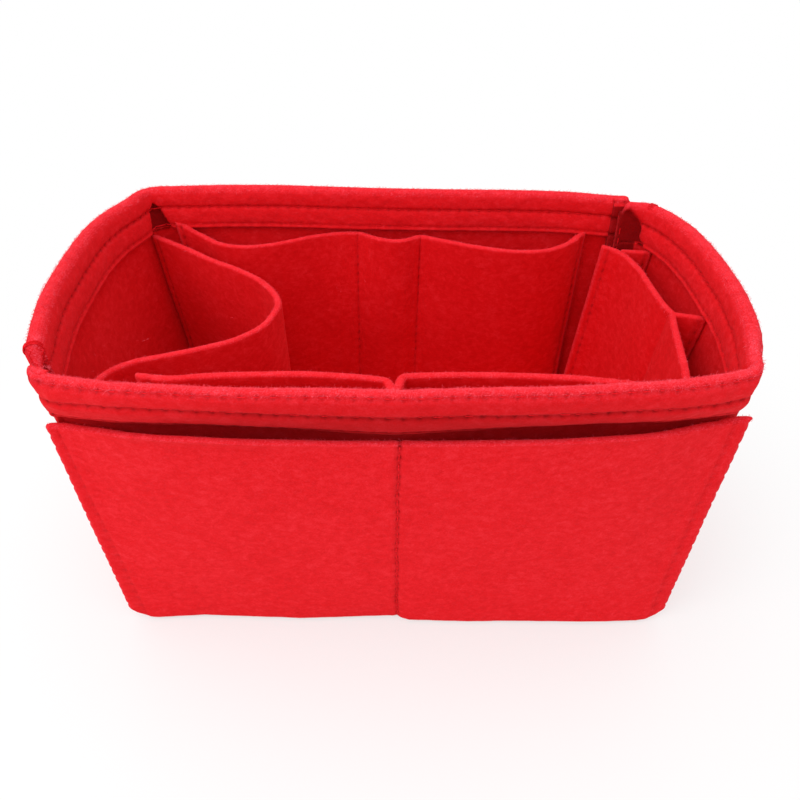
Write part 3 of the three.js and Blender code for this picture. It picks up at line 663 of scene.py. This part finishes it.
def untangle(points, creases):
    """Where the inner side of a sharp fold would cross itself, it meets in a crease instead."""
    for centre, reach in creases:
        first, last = centre - reach, min(centre + reach, points.shape[0] - 1)
        for j in range(points.shape[1]):
            line = points[first : last + 1, j, :2]
            p, r = line[:-1, None], np.diff(line, axis=0)[:, None]
            q, s = line[None, :-1], np.diff(line, axis=0)[None]
            bend = cross(r, s)
            bend = np.where(np.abs(bend) < 1e-9, 1e-9, bend)
            t, u = cross(q - p, s) / bend, cross(q - p, r) / bend
            a, b = np.nonzero((t >= 0) & (t <= 1) & (u >= 0) & (u <= 1))
            apart = b - a
            if len(a) == 0 or apart.max() < 2:
                continue
            k = int(np.argmax(apart))
            points[first + a[k] + 1 : first + b[k] + 1, j, :2] = line[a[k]] + t[a[k], b[k]] * r[a[k], 0]
    return points


def hem_rows(prefix, table, drop, first, last, creases):
    """Three rows of stitches round the hem, outside and inside."""
    for row, depth in enumerate(ROW_DEPTHS):
        z = (WALL_HEIGHT - depth - drop * (DROP_REACH - depth) / DROP_REACH)[:, None]
        sunk = GROOVE_DEPTH * (1 - INNER_ROWS[row]) * 0.6 - INNER_SUNK * (row == 0)
        for face, off, outward, radius in (
            ("outside", GROOVE_DEPTH + OUTER_SUNK[row], -1, THREAD_RADIUS),
            ("inside", HEM_THICKNESS - GROOVE_DEPTH + sunk, 1, THREAD_RADIUS * (1 if row else 0.6)),
        ):
            points, out = faced(table, z, off, outward)
            points = settle(untangle(points, creases))
            node = f"{prefix}_thread_{ROW_NAMES[row]}_{face}"
            thread_run(f"stitches_{node}", points[first:last, 0], out[first:last, 0], radius, node)


FRONT_END = START + FRONT_STEPS + FRONT_FOLD_STEPS + RIGHT_STEPS
REAR_END = START + REAR_STEPS + REAR_FOLD_STEPS + LEFT_STEPS
FRONT_FOLD = START + FRONT_STEPS + FRONT_FOLD_STEPS // 2
REAR_FOLD = START + REAR_STEPS + REAR_FOLD_STEPS // 2
FRONT_CREASES = ((FRONT_FOLD, 22), (FRONT_END + 8, 14))
REAR_CREASES = ((REAR_END + 8, 14),)


def end_drop(line_at, start, tail_steps, tail, slope):
    """The turned-in ends of a strip are cut lower than its rim."""
    count = len(line_at(WALL_HEIGHT))
    at = np.arange(count)
    return start * (1 - np.clip((at - 8) / 8, 0, 1)) + tail * np.clip((at - (count - tail_steps)) / slope, 0, 1)


front_drop = end_drop(front_right_line, 0.4, 8, 5.0, 4)
rear_drop = end_drop(rear_left_line, 0.3, 22, 8.0, 2)
wall_front = make_wall(
    "felt_wall_front_right", front_right_line, "wall_front_right", (START + 4, FRONT_END + 18, 1.0),
    3, front_drop, FRONT_FOLD, FRONT_CREASES,
)
wall_rear = make_wall(
    "felt_wall_rear_left", rear_left_line, "wall_rear_left", (START + 1, REAR_END + 2, 0.0),
    11, rear_drop, REAR_FOLD, REAR_CREASES,
)
hem_rows("hem_front_right", wall_front, front_drop, START + 8, FRONT_END - 1, FRONT_CREASES)
hem_rows("hem_rear_left", wall_rear, rear_drop, START + 8, REAR_END + 4, REAR_CREASES)


# ------ flat panels
# Pale fuzz paint on panels' rounded edges and ends is partly a painted highlight.
EDGE_ROUND, PANEL_RIM_FUZZ_AND_HIGHLIGHT, PANEL_END_FUZZ_AND_HIGHLIGHT = 1.25, 0.42, 0.45


def as_is(points):
    return points


def make_panel(name, line_at, node, rows, seams, seed, low=PANEL_FOOT, high=PANEL_TOP, centre=0.0,
               top_at=0.0, foot_at=0.0, sway=as_is, levels=40, creases=(), nicks=0.0, strengths=(0.7,) * 4,
               fuzz_and_sheen=0.0, notch=None):
    """A felt panel with rounded edges, and a sewn groove at each seam's station."""
    table = table_of(line_at, low, high + max(float(np.max(top_at)), 0), levels)
    way, none, ones = table["way"], np.zeros(rows), np.ones(rows)
    top, foot = high + top_at + 0 * way, low + foot_at + 0 * way
    up = np.linspace(0, 1, rows)
    arc = np.linspace(0, math.pi, 9)[1:-1]
    bend_off = -np.sign(np.cos(arc)) * np.abs(np.cos(arc)) ** 0.75
    bend_z = EDGE_ROUND * np.sin(arc) ** 0.75
    side = np.concatenate([-ones, bend_off, ones, -bend_off])
    share = np.concatenate([up, arc**0, up[::-1], 0 * arc])
    dz = np.concatenate([none, bend_z, none, -bend_z])
    z = (foot + EDGE_ROUND)[:, None] + (top - foot - 2 * EDGE_ROUND)[:, None] * share + dz
    thin = np.ones(len(way))
    thin[[0, -1]], thin[[1, -2]] = 0.55, 0.85
    off = centre + side * FELT / 2 * thin[:, None]
    for station, depth, width in creases:
        off = off + depth * np.exp(-np.abs(way - way[station]) / width)[:, None]
    sink = puff = np.zeros((len(way), 1))
    for station, strength in zip(seams, strengths):
        apart = np.abs(way - way[station])[:, None]
        sink = np.maximum(sink, strength * bell(apart, GROOVE_WIDTH))
        puff = np.maximum(puff, bell(apart - 2.2, 1.4))
    holes = holes_at(z)
    faces = side * (-GROOVE_DEPTH * sink * (0.75 + 0.6 * holes) + 0.18 * puff)
    points = place(table, z, off + faces)
    lumps = 0.14 * uneven(points, 8, seed) + 0.06 * uneven(points, 2.5, seed + 5)
    broad = 0.35 * uneven(points, 34, seed + 9)
    points = place(table, z, off + faces + lumps * side + broad * (1 - sink))
    points[:3, :, 0] += nicks * holes[:3]
    points[-3:, :, 0] -= nicks * holes[-3:]
    points = sway(points)
    # Pale fuzz paint on the rounded edges and ends, partly a painted highlight, and over the whole face where asked,
    # as a painted sheen.
    rim = np.abs(dz) / EDGE_ROUND
    edge = np.clip(rim * PANEL_RIM_FUZZ_AND_HIGHLIGHT + fuzz_and_sheen + np.zeros_like(z), 0, 1)
    edge[[0, 1, -1, -2]] = np.maximum(edge[[0, 1, -1, -2]], PANEL_END_FUZZ_AND_HIGHLIGHT)
    # Painted shade in the sewn grooves and needle holes, and a patch of painted shade at the top of the notch seam.
    painted_shade = sink * (0.25 + 0.6 * holes) * (1 - 0.5 * rim)
    if notch is not None:
        painted_shade[notch] = np.maximum(painted_shade[notch], 0.8 * bell(z[notch] - top[notch] + 1.5, 2.6))
    piece = shell(name, points, felt_red, edge, np.clip(painted_shade, 0, 0.8))
    dress(piece, node)
    return {"table": table, "top": top, "foot": foot, "centre": centre, "sway": sway, "seams": seams}


def sew(panel, spots, side, label, node=None, inset=1.0, sunk=0.9, radii=(THREAD_RADIUS,) * 4):
    """Stitches down each of a panel's seams, on one of its faces."""
    for spot, station, radius in zip(spots, panel["seams"], radii):
        z = np.arange(panel["foot"][station] + inset, panel["top"][station] - inset, PATH_STEP)[None]
        off = panel["centre"] + side * (FELT / 2 - GROOVE_DEPTH * sunk)
        points, out = faced(panel["table"], np.repeat(z, len(panel["top"]), 0), off, side)
        points = panel["sway"](points)
        name = f"stitches_{label}_{spot}"
        thread_run(name, points[station], out[station], radius, f"{node or label}_thread_{spot}")


# Outer pocket on the front
POCKET_SIDE, POCKET_COUNT = 6, 217


def outer_pocket_line(z):
    height = z / POCKET_HEIGHT
    start = -FLOOR_LENGTH / 2 - np.interp(height, (0, 1), POCKET_LEFT_OVERHANGS)
    end = FLOOR_LENGTH / 2 + np.interp(height, (0, 1), POCKET_RIGHT_OVERHANGS)
    wall = front_seam_points(z, np.linspace(0, 1, 221))
    left = np.linspace([start, wall[0, 1]], [start + SIDE_SEAM_INSET, wall[0, 1]], POCKET_SIDE)
    right = np.linspace([end - SIDE_SEAM_INSET, wall[-1, 1]], [end, wall[-1, 1]], POCKET_SIDE)
    wall = wall[(wall[:, 0] > left[-1, 0] + 0.4) & (wall[:, 0] < right[0, 0] - 0.4)]
    inner = resample(np.linspace(0, 1, POCKET_COUNT), np.linspace(0, 1, len(wall)), wall)
    return np.concatenate([left, inner, right])


outer_x = outer_pocket_line(60)[:, 0]
outer_middle = int(np.argmin(np.abs(outer_x - MIDDLE_SEAM)))
outer_top = np.interp(
    outer_x, [-118, -104, -95, -84, -66, -40, -20, 0, 20, 50, 70, 90, 106, 117],
    [-1.7, -1.2, 0.2, 1.8, 2.6, 2.2, 1.2, 1.0, 0.6, 1.1, 1.2, 0.3, -0.9, 1.6],
)
# The outer pocket gets a little pale fuzz paint over its whole face, a painted sheen, and painted shade at the top
# of its middle seam.
outer_pocket = make_panel(
    "felt_outer_pocket", outer_pocket_line, "front_outer_pocket", 80,
    (POCKET_SIDE, outer_middle, POCKET_COUNT + POCKET_SIDE - 1), 21.0, 1.0, POCKET_HEIGHT,
    -FELT / 2 - 0.3, outer_top, 5.0 * bell(np.minimum(outer_x - outer_x[0], outer_x[-1] - outer_x), 4.0),
    pocket_sway, nicks=0.45, strengths=(0.35, 1.3, 0.35), fuzz_and_sheen=0.14, notch=outer_middle,
)
sew(outer_pocket, ("left", "middle", "right"), -1, "outer_pocket_thread", "outer_pocket", 1.5, 1.0, (0.2, 0.34, 0.2))


# Pockets inside
REAR_COUNTS = (84, 36, 88)
REAR_SEAMS = ("right", "middle_right", "middle_left", "left")


def rear_shares(z):
    height = (z - PANEL_FOOT) / (PANEL_TOP - PANEL_FOOT)
    return [a + (b - a) * height for a, b in zip(REAR_POCKET_FOOT_SHARES, REAR_POCKET_SHARES)]


def rear_pocket_line(z):
    rise = 0.25 + 0.75 * (z - PANEL_FOOT) / (PANEL_TOP - PANEL_FOOT)
    shares = rear_shares(z)
    parts = []
    for n, (bulge, count) in enumerate(zip(REAR_POCKET_BULGES, REAR_COUNTS)):
        t = np.linspace(0, 1, count + 1)[(1 if n else 0):]
        line = rear_wall_points(z, shares[n] + (shares[n + 1] - shares[n]) * t)
        line[:, 1] -= FELT + SEWN_GAP + FELT / 2 + rise * catmull(bulge, t)[:, 0]
        parts.append(line)
    return np.concatenate(parts)


rear_count = sum(REAR_COUNTS) + 1
rear_way = np.arange(rear_count) / (rear_count - 1)
rear_pocket = make_panel(
    "felt_rear_pocket", rear_pocket_line, "rear_inner_pocket", 70,
    (3, REAR_COUNTS[0], REAR_COUNTS[0] + REAR_COUNTS[1], rear_count - 4), 31.0,
    top_at=4.6 * bell(1 - rear_way, 0.035) + 2.0 * bell(rear_way, 0.03),
)
sew(rear_pocket, REAR_SEAMS, 1, "rear_pocket")

# The rear pocket's seams come through to the outside of the rear wall
for n, spot in enumerate(REAR_SEAMS):
    heights = np.arange(PANEL_FOOT + 1, PANEL_TOP - 1, PATH_STEP)
    path = np.array([[*rear_wall_points(z, [rear_shares(z)[n]])[0], z] for z in heights])
    out = np.repeat([[0.0, 1.0, 0.0]], len(path), 0)
    thread_run(f"stitches_rear_wall_{spot}", path, out, THREAD_RADIUS, f"rear_wall_thread_{spot}")

FRONT_COUNTS = (84, 78)
FRONT_BUNCHED = 1.6  # how much closer the stations are at the middle seam


def front_inner_face(z, t):
    thickness = FELT if z < HEM_FOOT else HEM_THICKNESS + 0.8
    return front_wall_points(z, t)[:, 1] + thickness


def front_pocket_line(z):
    height = (z - PANEL_FOOT) / (FRONT_POCKET_TOP - PANEL_FOOT)
    rise = 0.2 + 0.8 * min(height / 0.7, 1)
    parts = []
    for n, (bulge, count) in enumerate(zip(FRONT_POCKET_BULGES, FRONT_COUNTS)):
        first, last = FRONT_POCKET_SHARES[n], FRONT_POCKET_SHARES[n + 1]
        free = (np.linspace(0, 1, count + 1)[1:] if n else np.linspace(1, 0, count + 1)) ** FRONT_BUNCHED
        share = free if n else 1 - free
        t = first + (last - first) * share
        pinch = 1 - bell(free * (last - first) * FLOOR_LENGTH, FRONT_PINCH[n])
        lift = FRONT_CORNER_LIFTS[n] * free**2 * np.clip((z - HEM_FOOT) / 4, 0, 1)
        y = front_inner_face(z, t) + SEWN_GAP + FELT / 2 + rise * pinch * catmull(bulge, share)[:, 0] + lift
        parts.append(np.stack([front_wall_points(z, t)[:, 0], y], 1))
    return np.concatenate(parts)


front_pocket = make_panel(
    "felt_front_inner_pocket", front_pocket_line, "front_inner_pocket", 80,
    (3, FRONT_COUNTS[0], sum(FRONT_COUNTS) - 3), 41.0, high=FRONT_POCKET_TOP, levels=120,
)
sew(front_pocket, ("left", "middle", "right"), 1, "front_pocket")


# Bottle holder
HOLDER_COUNT = 171


def holder_line(z):
    wall = rear_left_line(z)
    fold = START + REAR_STEPS + REAR_FOLD_STEPS // 2 + 7
    start = wall[fold] + normals_of(wall)[fold] * (FELT + 0.8)
    end = front_left(z) + X * (TURN_RADIUS + 5.5) + Y * (2 * TURN_RADIUS + 0.3 + FELT + 1.8)
    sink = 1 - z / PANEL_TOP
    plan = []
    for i, (x, y) in enumerate(HOLDER_PLAN):
        near = max(abs(2 * i / (len(HOLDER_PLAN) - 1) - 1) - 0.4, 0)
        plan.append(np.array([x * FLOOR_LENGTH, y * FLOOR_WIDTH]) * (1 - near * sink * 0.1))
    return spaced([start, *plan, end], HOLDER_COUNT)


holder = make_panel(
    "felt_bottle_holder", holder_line, "bottle_holder", 72, (4, HOLDER_COUNT - 5),
    51.0,
)
sew(holder, ("rear", "front"), 1, "holder")


# Cells at the right end
CELL_COUNT = 121


def cell_line(z):
    lean = CELL_LEAN * (1 - z / PANEL_TOP)
    points = [np.array([x * FLOOR_LENGTH - lean, y * FLOOR_WIDTH]) for x, y in CELL_PLAN]
    share = [CELL_FRONT_SHARE - lean / FLOOR_LENGTH]
    end = np.array([front_wall_points(z, share)[0, 0], front_inner_face(z, share)[0] + 2])
    return spaced([*points, end], CELL_COUNT)


cell_crease = int(np.argmin(np.abs(cell_line(PANEL_TOP)[:, 1] + 4)))
cells = make_panel(
    "felt_cell_panel", cell_line, "cell_panel", 72, (4, CELL_COUNT - 5), 61.0,
    creases=((cell_crease, 2.0, 5.0),),
)
sew(cells, ("rear", "front"), -1, "cells", "cell")


def crossing(line, y):
    for a, b in zip(line[:-1], line[1:]):
        if (a[1] - y) * (b[1] - y) <= 0 and a[1] != b[1]:
            return a[0] + (b[0] - a[0]) * (y - a[1]) / (b[1] - a[1])
    return line[0, 0]


def rib_line(inner, outer):
    def at(z):
        panel = cell_line(z)
        panel = panel + normals_of(panel) * FELT / 2
        wall = front_right_line(z)[START + FRONT_STEPS : -10]
        wall = wall + normals_of(wall) * FELT
        start = np.array([crossing(panel, inner * FLOOR_WIDTH) + 0.3, inner * FLOOR_WIDTH])
        end = np.array([crossing(wall, outer * FLOOR_WIDTH) - 0.3, outer * FLOOR_WIDTH])
        return np.linspace(start, end, 17)
    return at


for spot, inner, outer, seed in (("rear", 0.378, 0.366, 71.0), ("middle", -0.03, -0.058, 81.0)):
    rib = make_panel(
        f"felt_cell_rib_{spot}", rib_line(inner, outer), f"cell_rib_{spot}", 60,
        (13,), seed,
    )
    sew(rib, [spot], -1, "cell_rib")


# ------ floor
FLOOR_GAP, FLOOR_LIP, FLOOR_STATIONS, FLOOR_ROWS = 0.15, 1.2, 221, 72
LEFT_ROUND, RIGHT_ROUND = 5.0, 3.0
NOTCH_LENGTH, NOTCH_DEPTH, NOTCH_SLOPE = 5.5, 7.2, 3
RING_INSET, RING_NOTCH, RING_CORNER, RING_STEPS = 6.9, 14.0, 10.0, 900


def make_floor():
    """The floor fits between the walls' feet, notched where the strips' ends are folded."""
    half_x, half_y = FLOOR_LENGTH / 2 - FELT - FLOOR_GAP, FLOOR_WIDTH / 2 - FELT - FLOOR_GAP
    x = np.linspace(-half_x, half_x, FLOOR_STATIONS)
    edge, round_ = half_x - np.abs(x), np.where(x > 0, RIGHT_ROUND, LEFT_ROUND)
    notch = np.where(edge < NOTCH_LENGTH, NOTCH_DEPTH + np.maximum(NOTCH_SLOPE - edge, 0), 0)
    curve = round_ - np.sqrt(round_**2 - np.maximum(round_ - edge, 0) ** 2)
    front = -half_y + np.where(x < 0, notch, curve)
    back = half_y - np.where(x < 0, curve, notch)
    arc = np.linspace(0, math.pi, 7)[1:-1]
    t, none, ones = np.linspace(-1, 1, FLOOR_ROWS), np.zeros(FLOOR_ROWS), np.ones(FLOOR_ROWS)
    share = np.concatenate([t, arc**0, -t, -(arc**0)])
    lip = FLOOR_LIP * np.concatenate([none, np.sin(arc), none, -np.sin(arc)])
    z = FELT / 2 * (1 - np.concatenate([ones, np.cos(arc), -ones, -np.cos(arc)]))
    y = ((front + back) / 2)[:, None] + ((back - front) / 2 - FLOOR_LIP)[:, None] * share + lip
    points = np.stack(np.broadcast_arrays(x[:, None], y, z), -1)
    points[..., 2] += 0.12 * uneven(points, 9, 91.0) * (z > FELT - 0.1)
    piece = shell("felt_floor", front_sway(points), felt_red)
    dress(piece, "base_panel")


def floor_ring():
    """The way of the thread round the floor, cut short at the two notches."""
    x, y = FLOOR_LENGTH / 2 - RING_INSET, FLOOR_WIDTH / 2 - RING_INSET
    half = np.array([(RING_NOTCH - x, -y), (x - RING_CORNER, -y), (x, RING_CORNER - y), (x, y - RING_NOTCH)])
    line = np.concatenate([half, -half, half[:1]])
    way = way_along(line)
    path = resample(np.linspace(0, way[-1], RING_STEPS), way, line)
    return front_sway(np.column_stack([path, np.full(RING_STEPS, FELT + 0.12)]))


make_floor()
thread_run("stitches_floor", floor_ring(), np.repeat([[0.0, 0, 1.0]], RING_STEPS, 0), THREAD_RADIUS, "base_thread")


# ------ corner seams
TACK_STEPS, TACK_APART, TACK_MIDDLE, TACK_HEIGHT, TACK_RADIUS = 60, 0.8, 132.5, 2.45, 0.32


def corner_threads():
    for spot, table, low, high in (
        ("front_left", wall_rear, 90.0, 122.0), ("rear_right", wall_front, PANEL_FOOT, 124.0),
    ):
        heights = np.arange(low + 1, high, PATH_STEP)[None]
        points, out = faced(table, np.repeat(heights, len(table["way"]), 0), FELT)
        name, node = f"stitches_corner_{spot}", f"corner_thread_{spot}"
        thread_run(name, points[-4], out[-4], THREAD_RADIUS, node)


def bar_tack(spot, table, station, loops):
    """Close loops of thread round the rim where a strip ends."""
    middle, side = table["lines"][-1][station], table["sides"][-1][station]
    middle = middle + side * HEM_THICKNESS / 2
    along = np.array([side[1], -side[0]])
    path, out = [], []
    for t in np.arange(TACK_STEPS * loops + 1) / (TACK_STEPS * loops):
        across, up = math.cos(t * 2 * math.pi * loops), math.sin(t * 2 * math.pi * loops)
        square = math.copysign(abs(across) ** 0.85, across)
        level = middle + along * (t - 0.5) * TACK_APART * loops + side * (HEM_THICKNESS / 2) * square
        path.append([*level, TACK_MIDDLE + TACK_HEIGHT * up])
        out.append([*(side * across), up])
    name, node = f"bar_stitches_{spot}", f"bar_tack_{spot}"
    thread_run(name, settle(np.array(path)), np.array(out), TACK_RADIUS, node, dip=0.0)


corner_threads()
bar_tack("front_left", wall_rear, REAR_END, 3)
bar_tack("rear_right", wall_front, FRONT_END + 3, 4)


# ------ loose fibres
def fibres(name, bases, outs, count, lengths, radius, seed, lie):
    """Short curled fibres that stand off the felt at random places along its edges."""
    rng = np.random.default_rng(seed)
    curve = bpy.data.curves.new(name, "CURVE")
    curve.dimensions = "3D"
    curve.bevel_depth = radius * MM
    curve.bevel_resolution = 0
    curve.use_fill_caps = True
    pick = rng.integers(0, len(bases) - 1, count)
    share = rng.random((count, 1))
    start = bases[pick] * (1 - share) + bases[pick + 1] * share
    out = outs[pick] + rng.normal(0, 0.6, (count, 3))
    side = rng.normal(0, 1, (count, 3))
    side -= outs[pick] * np.sum(side * outs[pick], 1)[:, None]
    long = rng.uniform(*lengths, (count, 1))
    for k in range(count):
        spline = curve.splines.new("POLY")
        spline.points.add(3)
        for n, t in enumerate((-0.25, 0.3, 0.7, 1.0)):
            rise = out[k] * (1 - lie) * math.sin(max(t, 0) * 2.2) * 0.55 + out[k] * min(t, 0)
            at = start[k] + long[k] * (rise + side[k] * (0.25 + 0.5 * lie) * t + side[k][[1, 2, 0]] * 0.25 * t * t)
            at[2] = max(at[2], 0.1)
            spline.points[n].co = (*(at * MM), 1)
            spline.points[n].radius = (1, 1, 0.8, 0.4)[n]
    curve.materials.append(fibre_red)
    dress(add_object(name, curve))


def rim_fibres():
    for name, table, drop, last, seed in (
        ("front_right", wall_front, front_drop, FRONT_END + 12, 5),
        ("rear_left", wall_rear, rear_drop, REAR_END + 10, 6),
    ):
        bases, outs = [], []
        for angle in np.linspace(0.8, math.pi - 0.1, 9):
            z = RIM_START + RIM_RISE * math.sin(angle) - drop[:, None]
            points, level = faced(table, z, HEM_THICKNESS * (1 - math.cos(angle)) / 2)
            bases.append(settle(points)[START + 2 : last, 0])
            outs.append(-math.cos(angle) * level[START + 2 : last, 0] + np.array([0, 0, math.sin(angle)]))
        bases, outs = np.concatenate(bases), np.concatenate(outs)
        fibres(f"fibres_rim_{name}", bases, outs, 5200, (0.35, 1.15), 0.045, seed, 0.35)


def panel_fibres():
    for n, (name, panel) in enumerate((
        ("outer_pocket", outer_pocket), ("rear_pocket", rear_pocket), ("front_pocket", front_pocket),
        ("holder", holder), ("cells", cells),
    )):
        bases, outs = [], []
        for off in np.linspace(-1.4, 1.4, 5):
            z = panel["top"][:, None] - off**2 / 4
            at = np.full_like(z, panel["centre"] + off)
            points = panel["sway"](place(panel["table"], z, at))
            level = place(panel["table"], z, at + 1) - points
            bases.append(points[:, 0])
            outs.append(level[:, 0] * off / 2 + np.array([0, 0, 0.9]))
        count = int(panel["table"]["way"][-1] * 5)
        fibres(f"fibres_{name}", np.concatenate(bases), np.concatenate(outs), count, (0.3, 0.9), 0.038, 20 + n, 0.3)


# The loose fibres are paler than the felt: their pale tones are a painted highlight for the light they catch.
fibre_red = make_felt(
    "fibre_red", dark=(236, 40, 54), mid=(246, 70, 88), light=(252, 132, 150),
    fuzz_highlight_colour=(255, 150, 166), sunk=(130, 2, 5), sheen=0.07, bump=0.0,
)
rim_fibres()
panel_fibres()


# ------ floor of the studio, light and camera
CAMERA_LENS, CAMERA_PITCH, CAMERA_PLACE = 29.34, 39.5, (0, -0.23294, 0.25705)
LAMP_AIM = (0, 0, 0.06)


def seen_rays(tree):
    """Rays that see the backdrop itself: from the camera, a reflection or through glass."""
    rays = tree.nodes.new("ShaderNodeLightPath").outputs
    seen = math_node(tree, "MAXIMUM", rays["Is Camera Ray"], rays["Is Glossy Ray"])
    return math_node(tree, "MAXIMUM", seen, rays["Is Transmission Ray"])


def show_backdrop(tree, share, lit, seen, output):
    """Mixes what lights the object with what the backdrop itself looks like."""
    both = tree.nodes.new("ShaderNodeMixShader")
    set_inputs(both, {0: share, 1: lit, 2: seen})
    set_inputs(tree.nodes[output], {"Surface": both.outputs["Shader"]})


def make_stage():
    mesh = bpy.data.meshes.new("studio_floor")
    mesh.from_pydata([(-3, -3, 0), (3, -3, 0), (3, 3, 0), (-3, 3, 0)], [], [range(4)])
    ground = add_object("studio_floor", mesh)
    ground.location.z = -0.0002
    material, tree, shader = new_material("studio_white", 0.9)
    set_inputs(shader, {"Base Color": (0.9, 0.9, 0.9, 1)})
    length = tree.nodes.new("ShaderNodeVectorMath")
    length.operation = "LENGTH"
    set_inputs(length, {0: object_place(tree)})
    fade = tree.nodes.new("ShaderNodeMapRange")
    fade.interpolation_type = "SMOOTHSTEP"
    set_inputs(fade, {"Value": length.outputs["Value"], "From Min": 0.1, "From Max": 0.3, "To Min": 0.55})
    white = tree.nodes.new("ShaderNodeEmission")
    share = math_node(tree, "MULTIPLY", fade.outputs["Result"], seen_rays(tree))
    show_backdrop(tree, share, shader.outputs["BSDF"], white.outputs["Emission"], "Material Output")
    mesh.materials.append(material)


def make_world():
    world = bpy.data.worlds.new("studio")
    world.use_nodes = True
    tree = world.node_tree
    soft, seen = tree.nodes["Background"], tree.nodes.new("ShaderNodeBackground")
    set_inputs(soft, {"Color": (1, 1, 1, 1), "Strength": 0.8})
    set_inputs(seen, {"Color": (1, 1, 1, 1)})
    show_backdrop(tree, seen_rays(tree), soft.outputs["Background"], seen.outputs["Background"], "World Output")
    bpy.context.scene.world = world


def soft_light(name, where, size, power):
    lamp = bpy.data.lights.new(name, "AREA")
    lamp.shape = "DISK"
    lamp.size = size
    lamp.energy = power
    lit = add_object(name, lamp)
    lit.location = where
    lit.rotation_euler = (Vector(LAMP_AIM) - Vector(where)).to_track_quat("-Z", "Y").to_euler()


def make_camera():
    camera = bpy.data.cameras.new("camera")
    camera.lens = CAMERA_LENS
    camera.clip_start = 0.01
    viewer = add_object("camera", camera)
    viewer.location = CAMERA_PLACE
    viewer.rotation_euler = (math.radians(90 - CAMERA_PITCH), 0, 0)
    bpy.context.scene.camera = viewer


make_stage()
make_world()
soft_light("lamp_front", (-0.75, -0.5, 0.85), 0.8, 3.6)
soft_light("lamp_top", (-0.1, 0, 1.15), 1.4, 5.0)
make_camera()
bpy.context.scene.view_settings.view_transform = "Standard"

bpy.context.view_layer.update()
